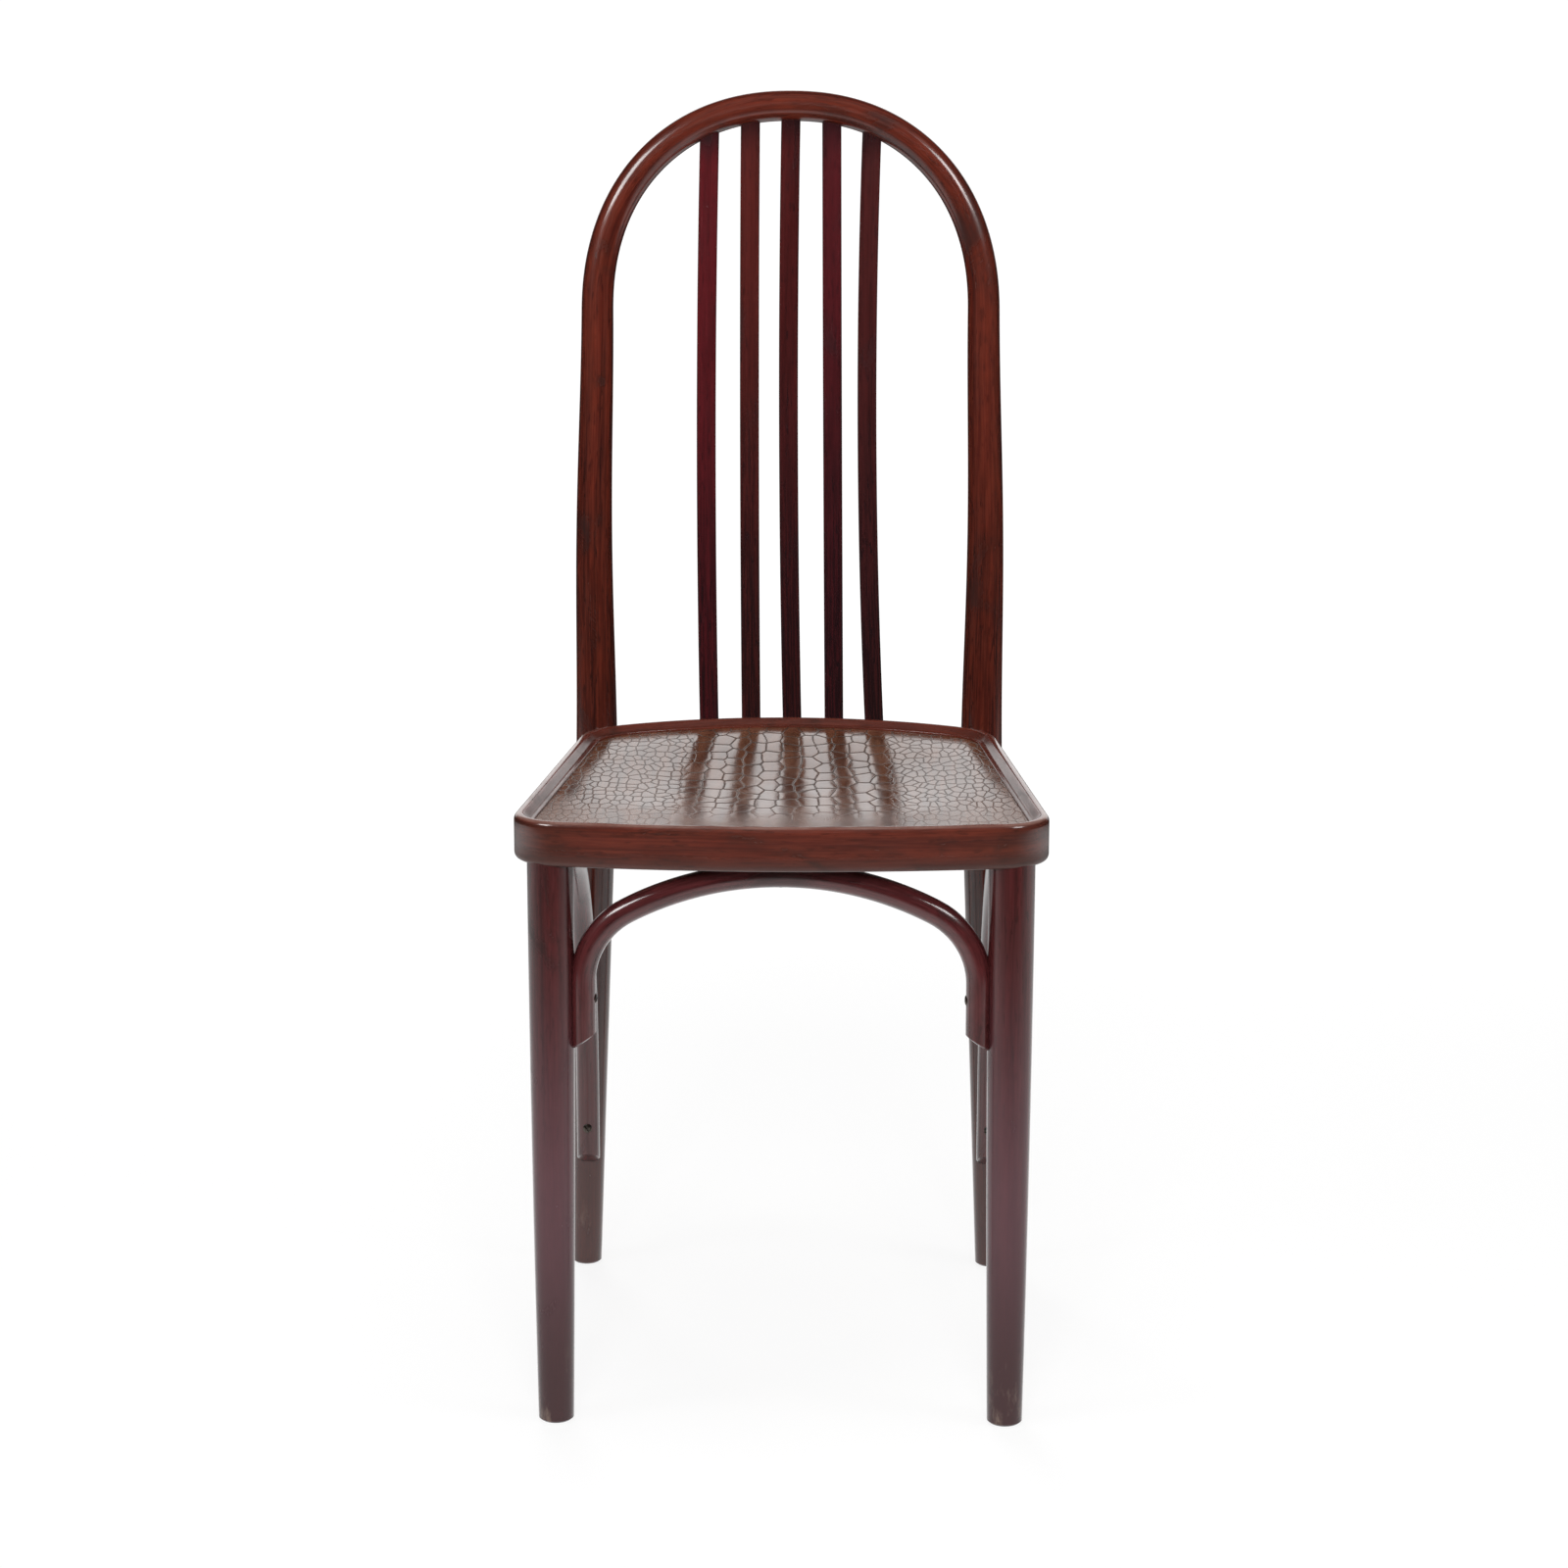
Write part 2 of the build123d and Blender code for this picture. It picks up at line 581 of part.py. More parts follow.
def make_ring():
    ring = extrude(seat_outline(0, ring_bottom), RING_HEIGHT)
    flats = ring.faces().sort_by(Axis.Z)
    ring = fillet(flats[0].edges() + flats[-1].edges(), RING_EDGE_ROUND)
    step_foot = seat_outline(RIM_WIDTH + STEP_WIDTH, ledge_level)
    step = loft([step_foot, seat_outline(RIM_WIDTH, SEAT_HEIGHT)], ruled=True)
    rabbet = extrude(seat_outline(panel_inset, rabbet_level), RING_HEIGHT)
    opening = Pos(0, 0, -BEYOND) * extrude(seat_outline(RING_WIDTH, ring_bottom), RING_HEIGHT + BEYOND)
    ring = ring - step - rabbet - opening - bow_room
    for side in (-1, 1):
        ring = ring - bolt_bore(side) - washer_flat(side) - leg_tenon(side, CLEARANCE)
        ring -= screw_hole(side_crown_screw_place(side), CROWN_SCREW_LENGTH)
    ring -= screw_hole(front_crown_screw_place(), CROWN_SCREW_LENGTH)
    for index in range(len(SLAT_SETS)):
        ring = ring - make_slat(index, CLEARANCE) - screw_hole(slat_screw_place(index), SLAT_SCREW_LENGTH)
    return ring


def make_panel():
    # thin panel lying in the rabbet, pressed to a shallow dish between the rails
    plate = extrude(seat_outline(panel_inset + CLEARANCE, rabbet_level), PANEL_THICK)
    middle = (front_y + rear_y) / 2
    reach = side_x(middle + SEAT_DEPTH / 4) - RING_WIDTH - DISH_MARGIN
    ball = (reach ** 2 + DISH_DEPTH ** 2) / (2 * DISH_DEPTH)
    centre = Pos(0, middle, panel_top + ball - DISH_DEPTH)
    below = Pos(0, middle, rabbet_level - BEYOND) * Box(2 * reach, 2 * reach, 2 * BEYOND)
    belly = (centre * Sphere(ball + PANEL_THICK)) & below
    return plate + belly - centre * Sphere(ball)


# Build each piece and write it out

def build():
    sides = {"left": -1, "right": 1}
    indices = range(len(SLAT_SETS))
    bow = make_bow()
    legs = {name: finish_leg(side) for name, side in sides.items()}
    front_brace = make_front_brace() - screw_hole(front_crown_screw_place(), CROWN_SCREW_LENGTH)
    pieces = {"seat_ring": make_ring(), "seat_panel": make_panel()}
    for index in indices:
        slat_hole = screw_hole(slat_screw_place(index), SLAT_SCREW_LENGTH)
        bow -= make_slat(index, CLEARANCE)
        pieces[f"back_slat_{index + 1}"] = make_slat(index, 0) - slat_hole
    for name, side in sides.items():
        front_hole = screw_hole(front_limb_screw_place(side), LIMB_SCREW_LENGTH)
        side_hole = screw_hole(side_front_screw_place(side), LIMB_SCREW_LENGTH)
        rear_hole = screw_hole(side_rear_screw_place(side), LIMB_SCREW_LENGTH)
        bow = bow - bolt_bore(side) - head_flat(side) - rear_hole
        front_brace -= front_hole
        pieces[f"front_leg_{name}"] = legs[name] - front_hole - side_hole
        pieces[f"side_brace_{name}"] = make_side_brace(side)
        pieces[f"post_bolt_{name}"] = make_bolt(side)
        pieces[f"post_washer_{name}"] = make_washer(side)
        pieces[f"post_nut_{name}"] = make_nut(side)
    pieces["back_bow"] = bow
    pieces["front_brace"] = front_brace
    both = sides.values()
    groups = {
        "front_brace_screws": [screw(front_limb_screw_place(side), LIMB_SCREW_LENGTH) for side in both],
        "side_brace_front_screws": [screw(side_front_screw_place(side), LIMB_SCREW_LENGTH) for side in both],
        "side_brace_rear_screws": [screw(side_rear_screw_place(side), LIMB_SCREW_LENGTH) for side in both],
        "brace_crown_screws": [screw(front_crown_screw_place(), CROWN_SCREW_LENGTH)]
        + [screw(side_crown_screw_place(side), CROWN_SCREW_LENGTH) for side in both],
        "slat_screws": [screw(slat_screw_place(index), SLAT_SCREW_LENGTH) for index in indices],
    }
    for name, solids in groups.items():
        pieces[name] = Compound(children=solids)
    return pieces


os.makedirs("parts", exist_ok=True)
for name, piece in build().items():
    export_step(piece, f"parts/{name}.step")
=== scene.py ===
import math
from collections import namedtuple

import bpy
import numpy as np
from mathutils import Matrix, Vector


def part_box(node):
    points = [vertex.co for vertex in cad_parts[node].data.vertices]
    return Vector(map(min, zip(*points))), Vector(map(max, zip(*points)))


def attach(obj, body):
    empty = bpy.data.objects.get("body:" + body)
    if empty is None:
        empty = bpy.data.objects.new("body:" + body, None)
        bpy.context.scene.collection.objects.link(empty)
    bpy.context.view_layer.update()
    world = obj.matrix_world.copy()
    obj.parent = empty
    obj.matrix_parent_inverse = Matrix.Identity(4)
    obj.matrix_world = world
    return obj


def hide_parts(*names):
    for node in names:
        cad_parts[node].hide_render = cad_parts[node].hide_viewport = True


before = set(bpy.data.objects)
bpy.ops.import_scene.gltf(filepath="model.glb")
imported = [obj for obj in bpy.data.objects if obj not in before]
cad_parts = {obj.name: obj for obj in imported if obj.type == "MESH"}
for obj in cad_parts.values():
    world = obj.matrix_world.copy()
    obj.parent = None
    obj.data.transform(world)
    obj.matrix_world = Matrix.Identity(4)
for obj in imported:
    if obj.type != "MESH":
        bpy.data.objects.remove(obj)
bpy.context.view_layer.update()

print("frame loaded:", len(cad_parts), "nodes")

# All sizes below are in millimetres; meshes are turned to metres when they are made.
metre = 0.001
bothSides = {"left": -1, "right": 1}


# Surfaces

def cornersOf(grid):
    # the four corners of every cell of a grid, in turn round the cell
    four = np.stack([grid[:-1, :-1], grid[:-1, 1:], grid[1:, 1:], grid[1:, :-1]], 2)
    return four.reshape((-1, 4) + grid.shape[2:])


def surface(points, grain, ring=False):
    # grid of points to quads, closed across its columns, with capped ends or joined up as a ring;
    # grain holds (along, across, through) for the unrolled grid
    rows, cols = points.shape[:2]
    numbers = np.arange(rows * cols).reshape(rows, cols)
    unrolled = np.pad(numbers, ((0, int(ring)), (0, 1)), mode="wrap")
    faces = cornersOf(unrolled).tolist()
    marks = cornersOf(grain).reshape(-1, grain.shape[-1])
    if not ring:
        faces += [numbers[0][::-1].tolist(), numbers[-1].tolist()]
        marks = np.concatenate([marks, grain[0, :cols][::-1], grain[-1, :cols]])
    return points.reshape(-1, 3), faces, marks


def signedVolume(points, faces):
    # sum of the tetrahedra between the origin and fans over the faces
    total = 0.0
    for size in set(map(len, faces)):
        ring = points[np.array([face for face in faces if len(face) == size])]
        spokes = np.cross(ring[:, 1:-1], ring[:, 2:])
        total += np.einsum("ik,ijk->", ring[:, 0], spokes) / 6
    return total


def addObject(name, data):
    # puts a mesh, a lamp or a camera into the scene
    made = bpy.data.objects.new(name, data)
    bpy.context.scene.collection.objects.link(made)
    return made


def makePiece(name, surfaces, node, material, sharp=38):
    # joins surfaces into one closed mesh, faces outward, and seats it on the frame in its node's place;
    # edges that turn by more than the sharp angle, in degrees, stay crisp
    allPoints, allFaces, allMarks, start = [], [], [], 0
    for points, faces, marks in surfaces:
        if signedVolume(points - points.mean(0), faces) < 0:
            sizes = np.cumsum([len(face) for face in faces])[:-1]
            marks = np.concatenate([part[::-1] for part in np.split(marks, sizes)])
            faces = [face[::-1] for face in faces]
        allPoints.append(points)
        allFaces += [[start + corner for corner in face] for face in faces]
        allMarks.append(marks)
        start += len(points)
    mesh = bpy.data.meshes.new(name)
    mesh.from_pydata(np.concatenate(allPoints) * metre, [], allFaces)
    marks = np.concatenate(allMarks)
    layer = mesh.attributes.new("grain", "FLOAT_VECTOR", "CORNER")
    layer.data.foreach_set("vector", (marks[:, :3] * metre).astype(np.float32).ravel())
    if marks.shape[1] > 3:
        layer = mesh.attributes.new("relief", "FLOAT", "CORNER")
        layer.data.foreach_set("value", marks[:, 3].astype(np.float32))
    mesh.polygons.foreach_set("use_smooth", np.ones(len(mesh.polygons), bool))
    mesh.set_sharp_from_angle(angle=math.radians(sharp))
    mesh.update()
    piece = addObject(name, mesh)
    mesh.materials.append(material)
    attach(piece, "root")
    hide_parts(node)
    print("piece", name, len(mesh.polygons), "faces")


def smooth(low, high, value):
    # eased ramp from 0 at low to 1 at high
    t = np.clip((value - low) / (high - low), 0, 1)
    return t * t * (3 - 2 * t)


def straight(start, end, count):
    # evenly spaced points from the start, the end left out
    return start + (end - start) * np.linspace(0, 1, count, endpoint=False)[:, None]


def circle(centre, radius, start, end, count):
    # evenly spaced points on an arc, the end left out
    turn = np.linspace(start, end, count, endpoint=False)
    return np.stack([centre[0] + radius * np.cos(turn), centre[1] + radius * np.sin(turn)], 1)


def unit(vectors):
    # each vector over its own length
    return vectors / np.linalg.norm(vectors, axis=-1, keepdims=True)


def softPolygon(corners, reaches, steps):
    # closed polygon with each corner eased by a quadratic bend of the given reach
    corners = np.array(corners, float)
    reach = np.array(reaches, float)[:, None]
    start = corners + unit(np.roll(corners, 1, 0) - corners) * reach
    end = corners + unit(np.roll(corners, -1, 0) - corners) * reach
    t = np.linspace(0, 1, steps + 1)[None, :, None]
    bent = (1 - t) ** 2 * start[:, None] + 2 * t * (1 - t) * corners[:, None] + t ** 2 * end[:, None]
    return bent.reshape(-1, 2)


def divided(loop, longest):
    # closed loop of points with long runs divided, corners kept
    ends = np.roll(loop, -1, 0)
    counts = np.maximum(np.linalg.norm(ends - loop, axis=1) / longest, 1).astype(int)
    return np.concatenate([straight(a, b, count) for a, b, count in zip(loop, ends, counts)])


def pathLength(points):
    # running length along rows of points
    return np.concatenate([[0], np.cumsum(np.linalg.norm(np.diff(points, axis=0), axis=1))])


def closed(rows, axis=0):
    # rows or columns with the first one again at the end
    return np.concatenate([rows, np.take(rows, [0], axis)], axis)


def sectionGrain(lengths, section):
    # grain of one closed section carried along a path: length on the path, then the section's two sizes
    grain = np.empty((len(lengths), len(section) + 1, 3))
    grain[:, :, 0] = lengths[:, None]
    grain[:, :, 1:] = closed(section)[None]
    return grain


def ovalRod(centres, across, depth, halfWidth, halfDepth, cols):
    # ovals carried along a path: centre + across * cos * width + depth * sin * depth
    turn = np.linspace(0, 2 * np.pi, cols, endpoint=False)
    side = np.cos(turn)[None, :, None] * halfWidth[:, None, None]
    back = np.sin(turn)[None, :, None] * halfDepth[:, None, None]
    points = centres[:, None] + across[:, None] * side + depth[:, None] * back
    along = np.broadcast_to(pathLength(centres)[:, None, None], side.shape)
    grain = np.concatenate([along, side, back], 2)
    return points, closed(grain, 1)


# Shader maths

class Wire:
    # a node's output; sums and products on it add Math nodes to its tree
    def __init__(self, tree, out=None):
        self.tree = tree
        self.out = out

    def node(self, kind, settings, inputs, out=0):
        # any node: its settings first, then values or links of its sockets
        made = self.tree.nodes.new(kind)
        for key, value in settings.items():
            setattr(made, key, value)
        for key, value in inputs.items():
            socket = made.inputs[key]
            if isinstance(value, Wire):
                self.tree.links.new(value.out, socket)
            else:
                socket.default_value = value
        return Wire(self.tree, made.outputs[out])

    def sum(self, operation, *values):
        # one Math node
        return self.node("ShaderNodeMath", {"operation": operation}, dict(enumerate(values)))

    def __add__(self, other):
        return self.sum("ADD", self, other)

    def __radd__(self, other):
        return self.sum("ADD", other, self)

    def __sub__(self, other):
        return self.sum("SUBTRACT", self, other)

    def __rsub__(self, other):
        return self.sum("SUBTRACT", other, self)

    def __mul__(self, other):
        return self.sum("MULTIPLY", self, other)

    def __rmul__(self, other):
        return self.sum("MULTIPLY", other, self)

    def __abs__(self):
        return self.sum("ABSOLUTE", self)

    def root(self):
        return self.sum("SQRT", self)

    def axis(self, number):
        # one coordinate of this vector
        return self.node("ShaderNodeSeparateXYZ", {}, {0: self}, number)

    def length(self):
        return self.node("ShaderNodeVectorMath", {"operation": "LENGTH"}, {0: self}, "Value")

    def stretched(self, factors):
        # this vector times a factor for each axis
        return self.node("ShaderNodeVectorMath", {"operation": "MULTIPLY"}, {0: self, 1: factors})

    def shifted(self, offset):
        # moved on by an offset that differs for each axis, so that no two pieces share their pattern
        moves = (offset, offset * 0.37, offset * 0.71)
        return self.node("ShaderNodeVectorMath", {"operation": "ADD"}, {0: self, 1: moves})

    def noise(self, stretch, detail, rough, twist=0.0):
        # noise on this vector, stretched by a factor for each axis
        return self.node("ShaderNodeTexNoise", {},
                         {"Vector": self.stretched(stretch), "Scale": 1.0, "Detail": detail,
                          "Roughness": rough, "Distortion": twist})

    def ramp(self, low, high, fromValue=0.0, toValue=1.0):
        # eased step between two values
        return self.node("ShaderNodeMapRange", {"interpolation_type": "SMOOTHSTEP"},
                         {"Value": self, "From Min": low, "From Max": high,
                          "To Min": fromValue, "To Max": toValue})

    def within(self, start, full, fall, end):
        # eased band: 0 before its start and past its end, 1 between full and fall
        return self.ramp(start, full) * self.ramp(end, fall)

    def between(self, first, second):
        # colour mix with this value as the mask
        return self.node("ShaderNodeMix", {"data_type": "RGBA"},
                         {0: self, 6: (*first, 1), 7: (*second, 1)}, 2)

    def blend(self, mask, other):
        # colour mix: this colour where the mask is 0, the other where it is 1
        return self.node("ShaderNodeMix", {"data_type": "RGBA"}, {0: mask, 6: self, 7: (*other, 1)}, 2)

    def bump(self, strength, distance, under=None):
        # normal from this height, laid over another bump's normal
        inputs = {"Strength": strength, "Distance": distance, "Height": self}
        if under is not None:
            inputs["Normal"] = under
        return self.node("ShaderNodeBump", {}, inputs)


def newMaterial(name, constants):
    # material, its Principled shader with the fixed numbers on its own sockets, and the Object coordinates
    material = bpy.data.materials.new(name)
    material.use_nodes = True
    shader = material.node_tree.nodes["Principled BSDF"]
    for key, value in constants.items():
        shader.inputs[key].default_value = value
    return material, shader, Wire(material.node_tree).node("ShaderNodeTexCoord", {}, {}, "Object")


def feed(shader, **links):
    # links to the shader's varying sockets
    names = {"colour": "Base Color", "roughness": "Roughness", "normal": "Normal", "coat": "Coat Weight"}
    for key, value in links.items():
        value.tree.links.new(value.out, shader.inputs[names[key]])


# Lacquered wood

# The bow's stain, from which the others are made: linear colours, the share of each mark, and the heights,
# insets or widths in metres over which a mark sets in
bowStain = {"dark": (0.03, 0.0045, 0.003), "mid": (0.088, 0.0118, 0.0066), "light": (0.165, 0.029, 0.015),
            # the next colour is that of pores and flecks, and also of every painted shade
            "poreAndShade": (0.012, 0.004, 0.003), "faded": (0.05, 0.014, 0.012), "scuffed": (0.25, 0.18, 0.14),
            # the next colour is a painted highlight mixed with worn lacquer, for the ring's top edge
            "wornAndHighlight": (0.25, 0.15, 0.125),
            "band": 0.45, "fibre": 0.3, "fleck": 0.3, "mottle": 0.42, "smudge": 0.55,
            # deep: painted shade, darker towards the bottom of the bow and the slats
            "deep": 0.35, "deepRun": (0.9, 0.5), "fade": 0.6, "fadeRun": (0.42, 0.15),
            "sole": 0.2, "soleRun": (0.2, 0.02), "scuff": 0.5, "scuffRun": (0.07, 0.0),
            # the mark at the slats' tops is a painted shadow of the arch
            "archShadow": 0.0, "archShadowRun": (0.9, 0.93), "shadeAndDirt": 0.0, "shadeAndDirtRun": (0.4465, 0.4345),
            # the run of heights on the line above and this step band paint shade under the ring and in the
            # rim's step, and dull its gloss there as dirt does
            "step": 0.3, "stepBand": (0.0062, 0.0082, 0.0142, 0.0152),
            # the corner mark is painted shade on the ring's corners and sides, below its top
            "corner": 0.0, "cornerRun": (0.12, 0.185), "cornerLevel": (0.4645, 0.462),
            # the band and level on this line paint a highlight with wear along the ring's top outer edge
            "wearAndHighlight": 0.0, "wearAndHighlightBand": (0.0006, 0.0022, 0.0036, 0.0056), "wearAndHighlightLevel": (0.461, 0.4635),
            "roughness": 0.2, "gloss": 0.36, "coat": 0.35, "coatRoughness": 0.12, "offset": 0.0}


def lacqueredWood(name, look):
    # stained, lacquered bentwood: streaks, fibres and pores run along the bend, smudges lie across it
    material, shader, place = newMaterial(name, {
        "IOR": 1.5, "Specular IOR Level": look["gloss"],
        "Coat Roughness": look["coatRoughness"], "Coat IOR": 1.5})
    bend = place.node("ShaderNodeAttribute", {"attribute_name": "grain"}, {}, "Vector")
    level, inset = place.axis(2), bend.axis(1)
    grain = bend.shifted(look["offset"])

    # patterns: stretch along, across and through the grain, detail, roughness and twist, then the two levels
    # of the noise between which the pattern sets in
    streak = grain.noise((5.0, 170.0, 170.0), 4.0, 0.6, 0.4).ramp(0.34, 0.68)
    band = grain.noise((1.6, 60.0, 60.0), 2.0, 0.5, 0.6).ramp(0.36, 0.66)
    fibre = grain.noise((20.0, 620.0, 620.0), 3.0, 0.6)
    fleck = grain.noise((70.0, 460.0, 460.0), 2.0, 0.5).ramp(0.58, 0.7)
    smudge = grain.noise((13.0, 30.0, 30.0), 4.0, 0.65, 0.8).ramp(0.52, 0.74)
    mottle = grain.noise((26.0, 70.0, 70.0), 4.0, 0.65).ramp(0.3, 0.7)
    scuff = place.noise((60.0, 60.0, 22.0), 4.0, 0.7).ramp(0.55, 0.75) * level.ramp(*look["scuffRun"])
    wave = place.noise((30.0, 30.0, 30.0), 2.0, 0.5)

    def byLevel(mark):
        # a mark's share, set in over its run of heights
        return level.ramp(*look[mark + "Run"]) * look[mark]

    # painted shade in the rim's step, under the ring and on its corners and sides, dirt that dulls the gloss
    # in the step and under the ring, and a painted highlight with wear along the ring's top edge, each in its
    # own part of the chair
    shadeAndDirt = (level.ramp(*look["shadeAndDirtRun"]) + inset.within(*look["stepBand"]) * look["step"]) * look["shadeAndDirt"]
    corner = abs(place.axis(0)).ramp(*look["cornerRun"]) * level.ramp(*look["cornerLevel"]) * look["corner"]
    edge = inset.within(*look["wearAndHighlightBand"]) * level.ramp(*look["wearAndHighlightLevel"]) * look["wearAndHighlight"]

    dark, light, poreAndShade = look["dark"], look["light"], look["poreAndShade"]
    colour = streak.between(dark, look["mid"])
    colour = colour.blend(band * look["band"], light)
    colour = colour.blend(mottle * look["mottle"], dark)
    # painted shade: darker towards the bottom
    colour = colour.blend(byLevel("deep"), poreAndShade)
    colour = colour.blend(fibre.ramp(0.42, 0.62) * look["fibre"] * (1 - fleck), light)
    colour = colour.blend(fleck * look["fleck"], poreAndShade)
    colour = colour.blend(smudge * look["smudge"], poreAndShade)
    colour = colour.blend(byLevel("fade"), look["faded"])
    colour = colour.blend(byLevel("sole"), dark)
    colour = colour.blend(scuff * look["scuff"], look["scuffed"])
    # painted shade in the rim's step and along the ring's lower edge
    colour = colour.blend(shadeAndDirt * 0.6, poreAndShade)
    # painted shade on the ring's corners and sides
    colour = colour.blend(corner * (0.7 + 0.3 * mottle), poreAndShade)
    # painted shadow of the arch over the slats' tops
    colour = colour.blend(byLevel("archShadow"), poreAndShade)
    # painted highlight with wear along the ring's top outer edge
    colour = colour.blend(edge * (0.4 + 0.6 * mottle), look["wornAndHighlight"])
    coat = look["coat"] * (1 - 0.9 * shadeAndDirt) * (1 - 0.25 * smudge)
    roughness = look["roughness"] + 0.06 * mottle + 0.12 * smudge + 0.1 * scuff - 0.05 * streak + 0.3 * shadeAndDirt
    relief = fibre * 0.6 + streak * 0.4 - fleck * 0.5
    normal = relief.bump(0.07, 0.00012, wave.bump(0.25, 0.0006))
    feed(shader, colour=colour, roughness=roughness, normal=normal, coat=coat)
    return material


# Seat ring

seat = {"top": 465.0, "depth": 418.0, "frontWidth": 405.0, "rearWidth": 323.0,
        "frontArc": 1000.0, "rearArc": 290.0, "frontBend": 38.0, "rearBend": 60.0, "leastBend": 6.0,
        "height": 33.5, "width": 44.0, "rim": 6.5, "step": 5.0, "drop": 5.0, "ledge": 3.5, "sink": 1.5,
        "easing": (5.0, 5.2, 1.1, 1.2, 0.7, 0.1, 1.0, 2.0),  # reach of the section's rounded corners
        "bendSteps": 6, "longestRun": 4.0,
        "panelThick": 4.5, "legInset": 29.7, "legSetback": 34.0, "postInset": 6.9, "postSetback": 40.0}
ringSteps = {"front": 30, "frontBend": 16, "side": 44, "rearBend": 18, "rear": 26}
# the ring takes painted shade in its step, under it and on its corners, and a painted highlight with wear
# along its top edge
ringStain = dict(bowStain, dark=(0.056, 0.012, 0.008), mid=(0.098, 0.0195, 0.0125),
                 light=(0.165, 0.036, 0.021), poreAndShade=(0.02, 0.0095, 0.0065), band=0.4, mottle=0.5, smudge=0.8,
                 fade=0.0, scuff=0.0, deep=0.0, shadeAndDirt=0.85, wearAndHighlight=0.75, corner=0.45, coat=0.4, offset=1.7)
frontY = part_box("seat_ring")[0].y / metre
rearY = frontY + seat["depth"]
sideSlope = (seat["frontWidth"] - seat["rearWidth"]) / 2 / seat["depth"]
ringBottom = seat["top"] - seat["height"]
panelInset = seat["rim"] + seat["step"] + seat["ledge"]
panelTop = seat["top"] - seat["drop"] - seat["sink"]

Bend = namedtuple("Bend", "centre radius arcTurn sideTurn arcY arc")


def sideX(y):
    # the seat's right side line
    return seat["frontWidth"] / 2 - sideSlope * (y - frontY)


def cornerAt(inset, arcY, radius, end):
    # where the side line, moved in, meets a circle about (0, arcY)
    moved = sideX(0) - inset * math.hypot(1, sideSlope)
    a = 1 + sideSlope ** 2
    b = -2 * (moved * sideSlope + arcY)
    c = moved ** 2 + arcY ** 2 - radius ** 2
    y = (-b + end * math.sqrt(b ** 2 - 4 * a * c)) / (2 * a)
    return np.array([moved - sideSlope * y, y])


def bends(inset):
    # the right side's front and rear corner bends, with their two tangent angles, and the arc each one meets
    sideTurn = math.atan2(sideSlope, 1)
    found = []
    for arcY, arc, bend, end in ((frontY + seat["frontArc"], seat["frontArc"], seat["frontBend"], -1),
                                 (rearY - seat["rearArc"], seat["rearArc"], seat["rearBend"], 1)):
        radius = max(bend - inset, seat["leastBend"])
        centre = cornerAt(inset + radius, arcY, arc - inset - radius, end)
        arcTurn = math.atan2(centre[1] - arcY, centre[0])
        found.append(Bend(centre, radius, arcTurn, sideTurn, arcY, arc - inset))
    return found


def outline(inset):
    # arcs, bends and sides moved in by the inset, counter-clockwise from the rear centre
    front, rear = bends(inset)
    out = np.array([math.cos(front.sideTurn), math.sin(front.sideTurn)])
    right = np.concatenate([
        circle((0, front.arcY), front.arc, -np.pi / 2, front.arcTurn, ringSteps["front"]),
        circle(front.centre, front.radius, front.arcTurn, front.sideTurn, ringSteps["frontBend"]),
        straight(front.centre + front.radius * out, rear.centre + rear.radius * out, ringSteps["side"]),
        circle(rear.centre, rear.radius, rear.sideTurn, rear.arcTurn, ringSteps["rearBend"]),
        circle((0, rear.arcY), rear.arc, rear.arcTurn, np.pi / 2, ringSteps["rear"]),
        [[0, rear.arcY + rear.arc]]])
    left = right[::-1] * (-1, 1)
    return np.concatenate([left[:-1], right[:-1]])


def makeSeatRing():
    # ring section in (inset, height), carried round the offset outlines
    top, low, rim, width = seat["top"], ringBottom, seat["rim"], seat["width"]
    ledge = top - seat["drop"]
    rabbet = panelTop - seat["panelThick"]
    corners = [(0, low), (0, top), (rim, top), (rim + seat["step"], ledge), (panelInset, ledge),
               (panelInset, rabbet), (width, rabbet), (width, low)]
    section = divided(softPolygon(corners, seat["easing"], seat["bendSteps"]), seat["longestRun"])
    loops = np.stack([outline(inset) for inset in section[:, 0]], 1)
    levels = np.broadcast_to(section[None, :, 1:], loops.shape[:2] + (1,))
    grain = sectionGrain(pathLength(closed(outline(0))), section)
    makePiece("seat_ring_bent", [surface(np.concatenate([loops, levels], 2), grain, True)], "seat_ring",
              lacqueredWood("ring_lacquer", ringStain))


makeSeatRing()


# Embossed panel

panel = {"clear": 0.15, "dish": 6.0, "dishHalf": (158.0, 170.0), "dishPower": 1.5, "cornerPull": 12,
         "cells": (280, 296), "belowRings": 8, "belowSpan": (0.985, 0.03), "rim": 0.975, "sharp": 50,
         "bandLeft": -78.0, "bandRight": 88.0, "scale": (14.5, 31.0), "stepRange": (0.6, 1.4), "stray": 0.2,
         "columnStart": -250.0, "columnRun": 480.0, "sway": (0.8, 1.5), "waves": (85.0, 47.0, 29.0, 17.0),
         "pillow": 0.1, "groove": 4.0, "pebbled": -60.0, "plain": -10.0, "neighbours": 6,
         "wornRun": (28.0, 120.0), "wornSway": 9.0, "wornSeam": 0.8, "wornPillow": 0.3,
         "siteSeed": 11, "swaySeeds": (3, 4), "wornSeed": 77}
